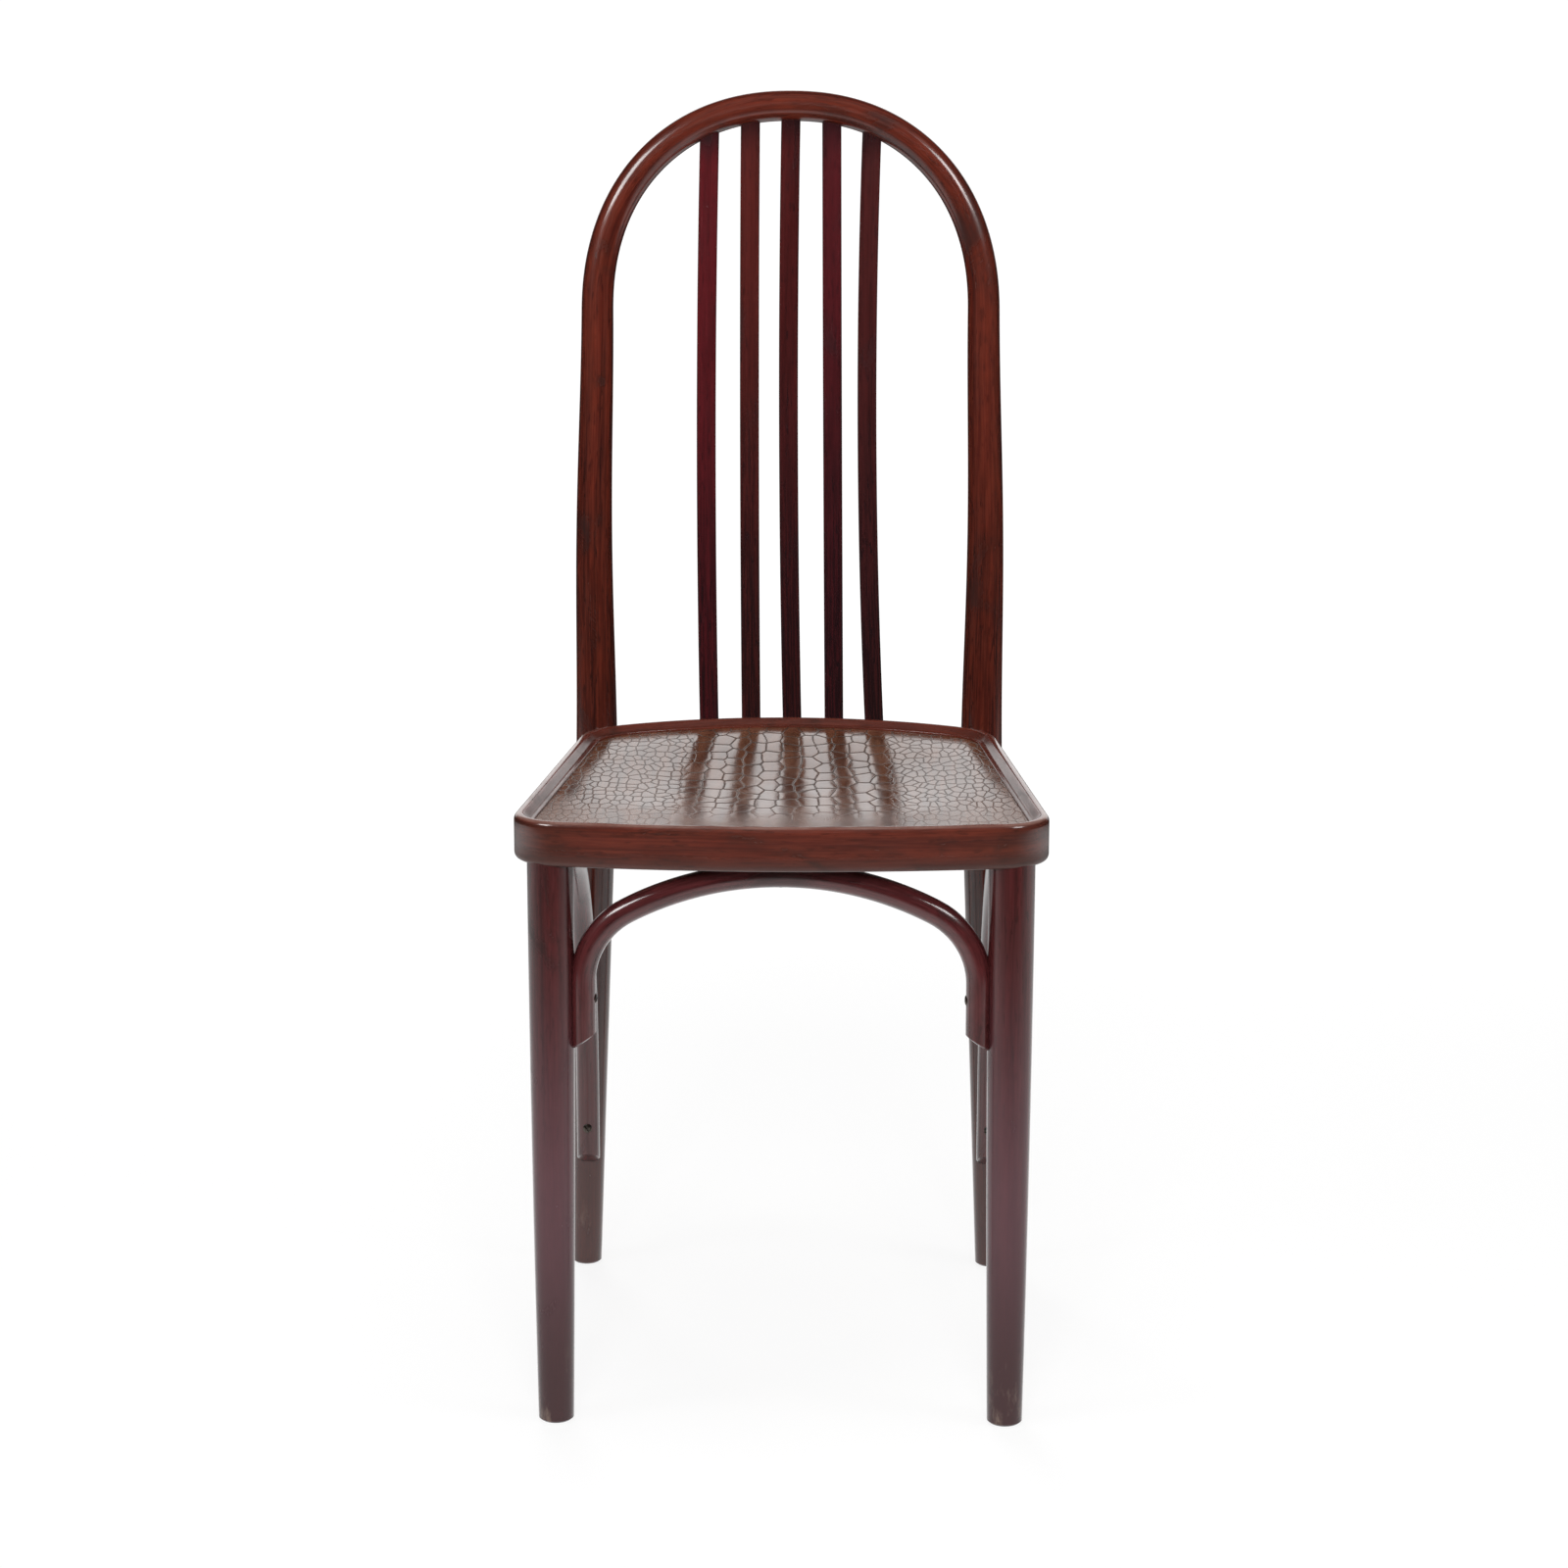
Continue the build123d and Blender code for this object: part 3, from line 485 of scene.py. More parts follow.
panelStain = {"dark": (0.06, 0.0222, 0.012), "mid": (0.122, 0.048, 0.025), "light": (0.165, 0.077, 0.046),
              "groove": (0.021, 0.017, 0.0135), "grooveLight": (0.2, 0.19, 0.165), "gloss": 0.68,
              "frontRun": (-0.1, -0.165), "frontWear": 0.62, "seam": 0.85, "seamRun": (-0.95, -0.32),
              "valleyRun": (-0.4, 0.5), "pebble": (88.0, 60.0), "crowd": 2.0, "pebbledRun": (-20.0, -30.0),
              "pebbleSeam": 0.62, "pebbleRun": (0.115, 0.04), "tilt": 0.075, "tiltRound": 0.03, "lip": 15.0}


def waver(x, y, seed):
    # smooth wandering of a line: a few sines at odd angles
    draw = np.random.default_rng(seed)
    total = np.zeros_like(x)
    for length in panel["waves"]:
        angle, phase = draw.uniform(0, 2 * np.pi, 2)
        wave = np.sin((x * np.cos(angle) + y * np.sin(angle)) * 2 * np.pi / length + phase)
        total += length / panel["waves"][0] * wave
    return total


def scaleSites():
    # centres of the large scales, in staggered columns along the squashed seat; the outer columns only
    # bound the others, so they aren't banded
    draw = np.random.default_rng(panel["siteSeed"])
    wide, pitch = panel["scale"]
    count = int((panel["bandRight"] - panel["bandLeft"]) / wide)
    sites, banded = [], []
    for index in range(-1, count + 1):
        steps = wide * draw.uniform(*panel["stepRange"], int(panel["columnRun"] / pitch) + 2)
        along = np.cumsum(steps) + panel["columnStart"] * wide / pitch
        stray = draw.uniform(-panel["stray"], panel["stray"], len(along))
        sites.append(np.stack([panel["bandLeft"] + wide * (index + 0.5) + wide * stray, along], 1))
        banded.append(np.full(len(along), 0 <= index < count))
    return np.concatenate(sites), np.concatenate(banded)


def scaleRelief(x, y):
    # distance to the nearest border between the large scales, below zero inside a scale: a point belongs to
    # its nearest site; a set number marks the finely pebbled sides
    wide, pitch = panel["scale"]
    sites, banded = scaleSites()
    swayX, swayY = (sway * waver(x, y, seed) for sway, seed in zip(panel["sway"], panel["swaySeeds"]))
    across = x / np.sqrt(sideX(y) / sideX(0)) + swayX
    along = (y + swayY) * wide / pitch
    spot = np.stack([across, along], -1).reshape(-1, 2)
    far = ((spot[:, None] - sites[None]) ** 2).sum(-1)
    order = np.argpartition(far, panel["neighbours"], axis=1)[:, :panel["neighbours"]]
    near = np.take_along_axis(far, order, 1)
    rows, first = np.arange(len(spot)), near.argmin(1)
    home = order[rows, first]
    apart = np.linalg.norm(sites[order] - sites[home][:, None], axis=-1)
    apart[rows, first] = np.inf
    border = (near - near.min(1)[:, None]) / (2 * apart)
    border[rows, first] = np.inf
    return np.where(banded[home], -border.min(1), panel["pebbled"]).reshape(x.shape)


def panelSpot(a, b):
    # square (a, b) to the seat: front and rear edges joined by straight lines, corners eased to their bends
    inset = panelInset + panel["clear"]
    front, rear = bends(inset)
    frontEnd = cornerAt(inset, front.arcY, front.arc, -1)
    rearEnd = cornerAt(inset, rear.arcY, rear.arc, 1)

    def sharpEdges(a, b):
        frontTurn = a * math.atan2(frontEnd[0], front.arcY - frontEnd[1])
        rearTurn = a * math.atan2(rearEnd[0], rearEnd[1] - rear.arcY)
        ahead = np.stack([front.arc * np.sin(frontTurn), front.arcY - front.arc * np.cos(frontTurn)], -1)
        behind = np.stack([rear.arc * np.sin(rearTurn), rear.arcY + rear.arc * np.cos(rearTurn)], -1)
        share = ((b + 1) / 2)[..., None]
        return ahead * (1 - share) + behind * share

    reach = np.maximum(np.maximum(np.abs(a), np.abs(b)), 1e-9)  # never zero, not even in the middle
    edge = sharpEdges(a / reach, b / reach)
    eased = edge.copy()
    for bend in (front, rear):
        between = (bend.arcTurn + bend.sideTurn) / 2
        opening = math.cos(abs(bend.arcTurn - bend.sideTurn) / 2)
        for side in (-1, 1):
            middle = bend.centre * (side, 1)
            aim = np.array([side * math.cos(between), math.sin(between)])
            spoke = edge - middle
            length = np.linalg.norm(spoke, axis=-1)
            outside = ((spoke @ aim) / length > opening) & (length > bend.radius)
            pulled = middle + spoke / length[..., None] * bend.radius
            eased = np.where(outside[..., None], pulled, eased)
    return sharpEdges(a, b) + (eased - edge) * (reach ** panel["cornerPull"])[..., None]


def panelDish(spot):
    # shallow pressed dish, deepest in the middle and flat at the border
    halfWide, halfDeep = panel["dishHalf"]
    radius = np.hypot(spot[..., 0] / halfWide, (spot[..., 1] - (frontY + rearY) / 2) / halfDeep)
    return -panel["dish"] * np.clip(1 - radius ** 2, 0, 1) ** panel["dishPower"]


def panelUpper(a, b):
    # points of the embossed top, and the border distances that its stain follows
    spot = panelSpot(a, b)
    x, y = spot[..., 0], spot[..., 1]
    relief = scaleRelief(x, y)
    start, end = panel["wornRun"]
    crisp = smooth(frontY + start, frontY + end, y + panel["wornSway"] * waver(x, y, panel["wornSeed"]))
    border = smooth(1.0, panel["rim"], np.maximum(np.abs(a), np.abs(b)))
    pressed = (smooth(0.0, -panel["groove"], relief) - 1) * panel["pillow"]
    lift = pressed * (panel["wornPillow"] + (1 - panel["wornPillow"]) * crisp) * border
    level = panelTop + panelDish(spot) + lift
    return np.stack([x, y, level], -1), relief - (1 - crisp) * panel["wornSeam"]


def makeSeatPanel():
    # embossed top, rim and smooth underside of the panel in one closed mesh
    across, deep = panel["cells"]
    a, b = np.meshgrid(np.linspace(-1, 1, across + 1), np.linspace(-1, 1, deep + 1))
    top, mark = panelUpper(a, b)
    numbers = np.arange(a.size).reshape(a.shape)
    loop = np.concatenate([numbers[0, :-1], numbers[:-1, -1], numbers[-1, :0:-1], numbers[:0:-1, 0]])
    shrink = np.concatenate([[1.0], np.linspace(*panel["belowSpan"], panel["belowRings"])])[:, None]
    below = panelSpot(a.ravel()[loop] * shrink, b.ravel()[loop] * shrink)
    level = panelTop - seat["panelThick"] + panelDish(below)
    lower = np.concatenate([below, level[..., None]], 2)
    rows = np.concatenate([loop[None], a.size + np.arange(level.size).reshape(level.shape)])
    skirt = cornersOf(closed(rows, 1))[:, [0, 3, 2, 1]]  # the other way round, to face outward
    quads = np.concatenate([cornersOf(numbers), skirt])
    middle = rows[-1][::-1]
    points = np.concatenate([top.reshape(-1, 3), lower.reshape(-1, 3)])
    reliefs = np.concatenate([mark.ravel(), np.full(level.size, panel["plain"])])
    marks = np.concatenate([points, reliefs[:, None]], 1)[np.concatenate([quads.ravel(), middle])]
    makePiece("seat_panel_pressed", [(points, quads.tolist() + [middle.tolist()], marks)], "seat_panel",
              embossedPly("panel_lacquer", panelStain), panel["sharp"])


def embossedPly(name, look):
    # stained ply with pressed scales: dark seams in the grooves, worn gloss on the scales
    material, shader, place = newMaterial(name, {"IOR": 1.5, "Specular IOR Level": look["gloss"]})
    relief = place.node("ShaderNodeAttribute", {"attribute_name": "relief"}, {}, "Fac")
    wide, deep = place.axis(0), place.axis(1)
    streak = place.noise((150.0, 9.0, 150.0), 4.0, 0.6, 0.5).ramp(0.35, 0.68)
    mottle = place.noise((16.0, 16.0, 16.0), 4.0, 0.6, 0.5).ramp(0.35, 0.7)
    fine = place.noise((700.0, 240.0, 700.0), 2.0, 0.6)
    twist = place.noise((34.0, 34.0, 34.0), 2.0, 0.5) * 0.5
    wave = place.noise((22.0, 22.0, 22.0), 2.0, 0.5) * 0.0003
    front = deep.ramp(*look["frontRun"])
    pebblesAcross, pebblesDeep = look["pebble"]
    spot = place.node("ShaderNodeCombineXYZ", {},
                      {0: wide * (1 + look["crowd"] * abs(wide)) * pebblesAcross + twist,
                       1: deep * pebblesDeep + twist})
    pebble = place.node("ShaderNodeTexVoronoi", {"voronoi_dimensions": "2D", "feature": "DISTANCE_TO_EDGE"},
                        {"Vector": spot, "Scale": 1.0, "Randomness": 0.8})
    pebbleSeam = relief.ramp(*look["pebbledRun"]) * pebble.ramp(*look["pebbleRun"]) * look["pebbleSeam"]
    seam = (relief.ramp(*look["seamRun"]) * look["seam"] + pebbleSeam) * (1 - look["frontWear"] * front)
    colour = streak.between(look["dark"], look["mid"])
    colour = colour.blend(mottle * 0.5, look["light"])
    colour = colour.blend(fine.ramp(0.5, 0.7) * 0.25, look["dark"])
    colour = colour.blend(relief.ramp(*look["valleyRun"]) * 0.3, look["grooveLight"])
    colour = colour.blend(seam * 0.8, look["groove"])
    roughness = 0.13 + 0.06 * mottle + 0.36 * seam + 0.03 * fine + 0.07 * front
    square = wide * wide
    pressed = (square + look["tiltRound"] ** 2).root() * look["tilt"] + square * square * look["lip"]
    dent = 1 - seam + 0.15 * fine
    normal = dent.bump(0.7, 0.00025, (wave + pressed).bump(1.0, 1.0))
    feed(shader, colour=colour, roughness=roughness, normal=normal)
    return material


makeSeatPanel()
print("seat ready")


# Back bow

bow = {"topZ": 977.0, "footSplay": 12.5, "footKick": 4.0, "lean": 68.0, "leanBend": 60.0,
       "drawIn": 1.0, "rise": 165.0, "fullness": 2.2, "bulge": 2.3,
       "footWidth": 24.5, "seatWidth": 34.0, "crownWidth": 24.5,
       "footDepth": 24.0, "seatDepth": 28.0, "crownDepth": 23.0, "taper": 1.6,
       "toe": 1.5, "sole": (9.0, 4.0), "footRow": 8.0, "springGap": 4.0, "postRows": 120, "archRows": 110,
       "boltFlat": 7.8, "boltSink": 3.0, "flatEase": 1.5, "flatRows": 25, "flatReach": 1.2, "flatClear": 1.35,
       "archTurn": (1, 179), "cols": 72}
postLevel = (ringBottom + panelTop - seat["panelThick"]) / 2
leanSlope = bow["lean"] / (bow["topZ"] - postLevel)
leanAngle = math.atan(leanSlope)
crownLevel = bow["topZ"] - math.hypot(bow["crownWidth"] / 2 * math.cos(leanAngle),
                                      bow["crownDepth"] / 2 * math.sin(leanAngle))
springLevel = crownLevel - bow["rise"]
postY = rearY - seat["postSetback"]
postHalf = sideX(postY) - seat["postInset"]
archHalf = postHalf - bow["drawIn"]
boltAim = unit(np.array([postHalf, postY]) - bends(0)[1].centre)
postReach = 1 / math.hypot(boltAim[0] / bow["seatWidth"] * 2, boltAim[1] / bow["seatDepth"] * 2)
boltSeat = postReach - bow["boltSink"]


def bowSide(z):
    # the rod's centre at a height, and its slope: straight below the seat, leaning above, one soft bend
    t = z - postLevel
    root = np.hypot(t, bow["leanBend"])
    kick = bow["footKick"] / postLevel
    y = postY + leanSlope * (root + t) / 2 + kick * (root - t) / 2
    return y, leanSlope * (t / root + 1) / 2 + kick * (t / root - 1) / 2


def postX(z):
    # half the distance between the rod's centres below the arch
    t = (z - postLevel) / (springLevel - postLevel)
    upper = postHalf - bow["drawIn"] * t + bow["bulge"] * np.sin(np.pi * np.clip(t, 0, 1)) ** 2
    return np.where(z < postLevel, postHalf + bow["footSplay"] * (1 - z / postLevel), upper)


def archZ(x):
    # superellipse of the arch
    power = bow["fullness"]
    return springLevel + bow["rise"] * (1 - abs(x / archHalf) ** power) ** (1 / power)


def rodSize(z, size):
    # the rod's Width or Depth: straight taper below the seat, quicker just above it
    foot, middle, crown = (bow[part + size] for part in ("foot", "seat", "crown"))
    t = np.clip((z - postLevel) / (crownLevel - postLevel), 0, 1)
    upper = crown + (middle - crown) * (1 - t) ** bow["taper"]
    return np.where(z < postLevel, foot + (middle - foot) * np.clip(z, 0, None) / postLevel, upper)


def footRows(shape, runs):
    # heights up a leg, and how far each ring is drawn in: rings of the sole, the chamfer, then the runs
    levels = np.concatenate([np.zeros(len(shape["sole"]) + 1), [shape["toe"]], runs])
    drawnIn = np.zeros(len(levels))
    drawnIn[:len(shape["sole"]) + 1] = [*shape["sole"], shape["toe"]]
    return levels, drawnIn


def bowPath():
    # centres of the rod from the left foot over the arch to the right foot, and how far each ring is drawn in
    flat = bow["boltFlat"]
    runs = np.linspace(bow["footRow"], springLevel - bow["springGap"], bow["postRows"])
    runs = runs[np.abs(runs - postLevel) > flat * bow["flatClear"]]
    near = postLevel + np.linspace(-1, 1, bow["flatRows"]) * flat * bow["flatReach"]
    levels, drawnIn = footRows(bow, np.sort(np.concatenate([runs, near])))
    turn = np.radians(np.linspace(*bow["archTurn"], bow["archRows"]))
    power = 2 / bow["fullness"]
    archX = -archHalf * np.abs(np.cos(turn)) ** power * np.sign(np.cos(turn))
    archLevel = springLevel + bow["rise"] * np.sin(turn) ** power
    x = np.concatenate([-postX(levels), archX, postX(levels)[::-1]])
    z = np.concatenate([levels, archLevel, levels[::-1]])
    return np.stack([x, bowSide(z)[0], z], 1), np.concatenate([drawnIn, np.zeros(len(turn)), drawnIn[::-1]])


def makeBow():
    # one tapering oval rod: left leg and post, arch, right post and leg, with a flat for each bolt
    centres, drawnIn = bowPath()
    x, z = centres[:, 0], centres[:, 2]
    apart = 1e-6 * np.arange(len(z))  # keeps the sole's rings, which share a centre, from dividing by zero
    heading = np.gradient(centres[:, [0, 2]], pathLength(centres) + apart, axis=0)
    foot = z <= bow["footRow"]
    heading[foot] = (0, 1)
    heading[foot & (x > 0)] = (0, -1)
    slope = np.where(foot, 0, bowSide(z)[1])
    heading = unit(np.stack([heading[:, 0], heading[:, 1] * slope, heading[:, 1]], 1))
    depth = unit(np.array([0, 1.0, 0]) - heading * heading[:, 1:2])
    halfWidth = rodSize(z, "Width") / 2 - drawnIn
    halfDepth = rodSize(z, "Depth") / 2 - drawnIn
    points, grain = ovalRod(centres, np.cross(heading, depth), depth, halfWidth, halfDepth, bow["cols"])
    for side in bothSides.values():
        aim = np.array([side * boltAim[0], boltAim[1], 0])
        spot = points - np.array([side * postHalf, postY, postLevel])
        along = spot @ aim
        away = np.linalg.norm(spot - along[..., None] * aim, axis=-1)
        inFlat = smooth(bow["boltFlat"] + bow["flatEase"], bow["boltFlat"], away)
        cut = np.clip(along - boltSeat, 0, None) * inFlat
        points = points - cut[..., None] * aim
    makePiece("back_bow_bent", [surface(points, grain)], "back_bow",
              lacqueredWood("bow_lacquer", bowStain))


makeBow()


# Slats

slat = {"width": 15.5, "thick": 8.0, "corner": 1.8, "cornerSteps": 5, "longestRun": 2.0, "rows": 90,
        "topPitch": 33.0, "footPitch": 34.5, "footShift": 2.6, "belly": 5.0, "lap": 29.0, "housing": 2.0,
        "sets": (-2.8, -1.1, -2.8, -0.3, -5.7),  # sideways bow that each slat has taken
        "tints": ((0.078, 0.0072, 0.0098), (0.066, 0.0108, 0.0092), (0.05, 0.0072, 0.0072),
                  (0.053, 0.0064, 0.0084), (0.048, 0.0088, 0.0086)),
        # the run in mm below each slat's top of the painted shadow of the arch
        "shades": {"dark": 0.55, "mid": 1.0, "light": 1.6}, "archShadowRun": (40.0, 10.0),
        "grainStart": 5.3, "grainStep": 2.1}
# the slats take strong painted shade towards the seat
slatStain = dict(bowStain, poreAndShade=(0.0055, 0.0042, 0.0055), deep=0.8, deepRun=(0.87, 0.47), fade=0.0, scuff=0.0,
                 mottle=0.25, smudge=0.3, coat=0.2, archShadow=0.6)


def slatEnds(index):
    # foot on the seat ring's rear face, and top in the arch
    step = index - (len(slat["sets"]) - 1) / 2
    footX = step * slat["footPitch"] + slat["footShift"]
    footY = rearY - seat["rearArc"] + math.sqrt(seat["rearArc"] ** 2 - footX ** 2)
    topX = step * slat["topPitch"]
    high = archZ(topX)
    return (np.array([footX, footY + slat["thick"] / 2 - slat["housing"], seat["top"] - slat["lap"]]),
            np.array([topX, bowSide(high)[0], high]))


def slatLine(index, t):
    # points on a slat's gently bowed middle line, at shares of its height
    foot, top = slatEnds(index)
    hump = 4 * t * (1 - t)
    bowed = np.array([slat["sets"][index], -slat["belly"], 0])
    return foot + (top - foot) * t[:, None] + bowed * hump[:, None]


def makeSlat(index):
    # rounded rectangle carried up its line
    line = slatLine(index, np.linspace(0, 1, slat["rows"]))
    w, d = slat["width"] / 2, slat["thick"] / 2
    section = softPolygon([(-w, -d), (w, -d), (w, d), (-w, d)], [slat["corner"]] * 4, slat["cornerSteps"])
    section = divided(section, slat["longestRun"])
    points = line[:, None] + np.pad(section, ((0, 0), (0, 1)))[None]
    grain = sectionGrain(pathLength(line), section)
    stain = dict(slatStain, offset=slat["grainStart"] + slat["grainStep"] * index,
                 archShadowRun=[(slatEnds(index)[1][2] - below) * metre for below in slat["archShadowRun"]])
    for shade, strength in slat["shades"].items():
        stain[shade] = tuple(strength * value for value in slat["tints"][index])
    makePiece(f"back_slat_{index + 1}_flat", [surface(points, grain)], f"back_slat_{index + 1}",
              lacqueredWood(f"slat_lacquer_{index + 1}", stain))


for slatIndex in range(len(slat["sets"])):
    makeSlat(slatIndex)
print("back ready")


# Front legs

leg = {"forward": 6.0, "topWidth": 34.4, "footWidth": 26.6, "swell": 0.8, "toe": 1.5, "sole": (10.0, 4.0),
       "footRow": 8.0, "socket": 3.0, "rows": 80, "cols": 48, "grainGap": 700.0}
legStain = dict(bowStain, dark=(0.026, 0.0048, 0.0048), mid=(0.057, 0.0092, 0.0092),
                light=(0.09, 0.0185, 0.019), faded=(0.096, 0.038, 0.049), fade=0.7, fadeRun=(0.4, 0.13),
                sole=0.8, deep=0.0, gloss=0.3, coat=0.16, offset=3.1)
legTopY = frontY + seat["legSetback"]
legFootY = legTopY - leg["forward"]
legX = sideX(legTopY) - seat["legInset"]


def legRadius(z):
    # straight taper, filled out a little at half height
    t = z / ringBottom
    return (leg["footWidth"] + (leg["topWidth"] - leg["footWidth"]) * t) / 2 + leg["swell"] * 4 * t * (1 - t)


def legY(z):
    # the axis leans forward to the foot
    return legFootY + leg["forward"] * z / ringBottom


def makeLeg(name, side, wood):
    # circles of the turned taper, stacked along the leaning axis
    z, drawnIn = footRows(leg, np.linspace(leg["footRow"], ringBottom + leg["socket"], leg["rows"]))
    radius = legRadius(z) - drawnIn
    centres = np.stack([np.full_like(z, side * legX), legY(z), z], 1)
    across = np.broadcast_to([1.0, 0, 0], centres.shape)
    depth = np.broadcast_to([0, 1.0, 0], centres.shape)
    points, grain = ovalRod(centres, across, depth, radius, radius, leg["cols"])
    grain[:, :, 0] += leg["grainGap"] * side
    makePiece(f"front_leg_{name}_turned", [surface(points, grain)], f"front_leg_{name}", wood)


legWood = lacqueredWood("leg_lacquer", legStain)
for sideName, sideSign in bothSides.items():
    makeLeg(sideName, sideSign, legWood)


# Braces

brace = {"width": 19.0, "letIn": 3.0, "flat": 0.5, "bevel": 30.0, "bevelRun": 60.0, "toe": 1.4,
         "frontEnd": 290.0, "rearEnd": 91.0, "crownArc": 245.0, "frontShoulder": 62.0, "sideShoulder": 51.0,
         "rearScrewRise": 35.0, "frontScrewRise": 38.0, "sideScrewRise": 20.0, "pathStep": 5.0, "cols": 40}
braceStain = dict(bowStain, dark=(0.03, 0.0055, 0.006), mid=(0.074, 0.0125, 0.0135),
                  light=(0.12, 0.026, 0.028), fade=0.2, fadeRun=(0.45, 0.18), scuff=0.0, deep=0.0, coat=0.45,
                  offset=4.9)
braceHalf = brace["width"] / 2
braceCrown = ringBottom + brace["flat"] - braceHalf
frontLimbX = legX - legRadius(brace["frontEnd"]) - braceHalf + brace["letIn"]
rearScrewLevel = brace["rearEnd"] + brace["rearScrewRise"]
sideFrontY = legY(brace["frontEnd"]) + legRadius(brace["frontEnd"]) + braceHalf - brace["letIn"]
sideRearY = bowSide(rearScrewLevel)[0] - rodSize(rearScrewLevel, "Depth") / 2 - braceHalf + brace["letIn"]
sideToe = (postX(rearScrewLevel) - legX) / (sideRearY - sideFrontY)
sideSpan = (sideRearY - sideFrontY) * math.hypot(1, sideToe)
upright = np.array([0, 0, 1.0])


def bentPath(parts, start, along, up):
    # runs and arcs in a plane as one path: a run is (start, end), an arc (centre, radius, from, to) in
    # degrees; one more point stands close to each end, where the edge is eased
    spots = []
    for part in parts:
        if len(part) == 2:
            a, b = np.array(part, float)
            count = max(int(np.linalg.norm(b - a) / brace["pathStep"]), 2)
            spots.append(straight(a, b, count))
        else:
            centre, radius, first, last = part
            first, last = math.radians(first), math.radians(last)
            count = max(int(abs(last - first) * radius / brace["pathStep"]), 4)
            spots.append(circle(centre, radius, first, last, count))
    spots.append(np.array([parts[-1][1]], float))
    flat = np.concatenate(spots)
    step = brace["toe"] / np.linalg.norm(flat[1] - flat[0])
    flat = np.concatenate([flat[:1], flat[:1] + (flat[1:2] - flat[:1]) * step, flat[1:-1],
                           flat[-1:] + (flat[-2:-1] - flat[-1:]) * step, flat[-1:]])
    return start + flat[:, :1] * along + flat[:, 1:] * up


def bevelledRod(path, normal):
    # round rod along a plane path; both straight ends are cut on a slope that rises away from the leg
    section = circle((0, 0), braceHalf, 0, 2 * np.pi, brace["cols"])
    length = pathLength(path)
    heading = unit(np.gradient(path, length, axis=0))
    across = np.cross(heading, normal)
    eased = np.full(len(path), 1.0)
    eased[[0, -1]] -= brace["toe"] / braceHalf
    ring = across[:, None] * section[None, :, :1] + normal * section[None, :, 1:]
    rise = math.tan(math.radians(brace["bevel"])) * (braceHalf + section[:, 0])
    nearStart = np.clip(1 - length / brace["bevelRun"], 0, 1)
    nearEnd = np.clip(1 - (length[-1] - length) / brace["bevelRun"], 0, 1)
    shift = (nearStart - nearEnd)[:, None] * rise[None]
    points = path[:, None] + ring * eased[:, None, None] + heading[:, None] * shift[..., None]
    return surface(points, sectionGrain(length, section))


def makeBrace(name, parts, start, along, up, wood):
    # bevelled rod along runs and arcs in the plane of along and up
    rod = bevelledRod(bentPath(parts, start, along, up), np.cross(along, up))
    makePiece(f"{name}_bent", [rod], name, wood)


def makeFrontBrace(wood):
    # three-centred arch in the plane of the two front legs
    shoulder, arc = brace["frontShoulder"], brace["crownArc"]
    low, limb = brace["frontEnd"], frontLimbX
    centreZ = braceCrown - arc
    inX = limb - shoulder
    shoulderZ = centreZ + math.sqrt((arc - shoulder) ** 2 - inX ** 2)
    turn = math.degrees(math.atan2(shoulderZ - centreZ, inX))
    parts = [((-limb, low), (-limb, shoulderZ)), ((-inX, shoulderZ), shoulder, 180, 180 - turn),
             ((0, centreZ), arc, 180 - turn, turn), ((inX, shoulderZ), shoulder, turn, 0),
             ((limb, shoulderZ), (limb, low))]
    along = np.array([1.0, 0, 0])
    up = unit(np.array([0, leg["forward"], ringBottom]))
    makeBrace("front_brace", parts, np.array([0, legFootY, 0]), along, up, wood)


def sideStart(side):
    # foot of the front limb's axis on the floor
    return np.array([side * legX, sideFrontY, 0])


def sideAlong(side):
    # level heading of a side brace, front to rear
    return unit(np.array([side * sideToe, 1.0, 0]))


def makeSideBrace(name, side, wood):
    # front limb, tight shoulder, crown under the ring, one long sweep down to the rear limb
    shoulder = brace["sideShoulder"]
    sweep = sideSpan - shoulder
    parts = [((0, brace["frontEnd"]), (0, braceCrown - shoulder)),
             ((shoulder, braceCrown - shoulder), shoulder, 180, 90),
             ((shoulder, braceCrown - sweep), sweep, 90, 0),
             ((sideSpan, braceCrown - sweep), (sideSpan, brace["rearEnd"]))]
    makeBrace(f"side_brace_{name}", parts, sideStart(side), sideAlong(side), upright, wood)


braceWood = lacqueredWood("brace_lacquer", braceStain)
makeFrontBrace(braceWood)
for sideName, sideSign in bothSides.items():
    makeSideBrace(sideName, sideSign, braceWood)
print("legs and braces ready")


# Screws and bolts

screw = {"head": 7.5, "dome": 1.3, "domeRings": (0.02, 0.2, 0.4, 0.6, 0.8, 0.92, 1.0), "domeShare": 0.98,
         "slot": 1.1, "slotDepth": 0.9, "slotEdge": (0.75, 0.45), "rim": 1.2, "neck": 1.2, "shank": 4.0,
         "tip": 4.0, "point": 0.3, "cols": 32, "limbLength": 32.0, "crownLength": 29.0, "slatLength": 23.0,
         "stands": {"front": -0.3, "side": 0.2, "crown": -1.2, "slat": 0.0},  # height above the wood
         "turns": {"front": 1.0, "side": 0.6, "crown": 0.3},  # of the slot, in radians
         "bright": (0.085, 0.072, 0.062), "browned": (0.03, 0.02, 0.014)}


def agedSteel(name):
    # dull, browned steel with small pits
    material, shader, place = newMaterial(name, {"Metallic": 1.0})
    pit = place.noise((900.0, 900.0, 900.0), 3.0, 0.6).ramp(0.45, 0.7)
    feed(shader, colour=pit.between(screw["bright"], screw["browned"]), roughness=0.35 + 0.35 * pit,
         normal=pit.bump(0.4, 0.0001))
    return material


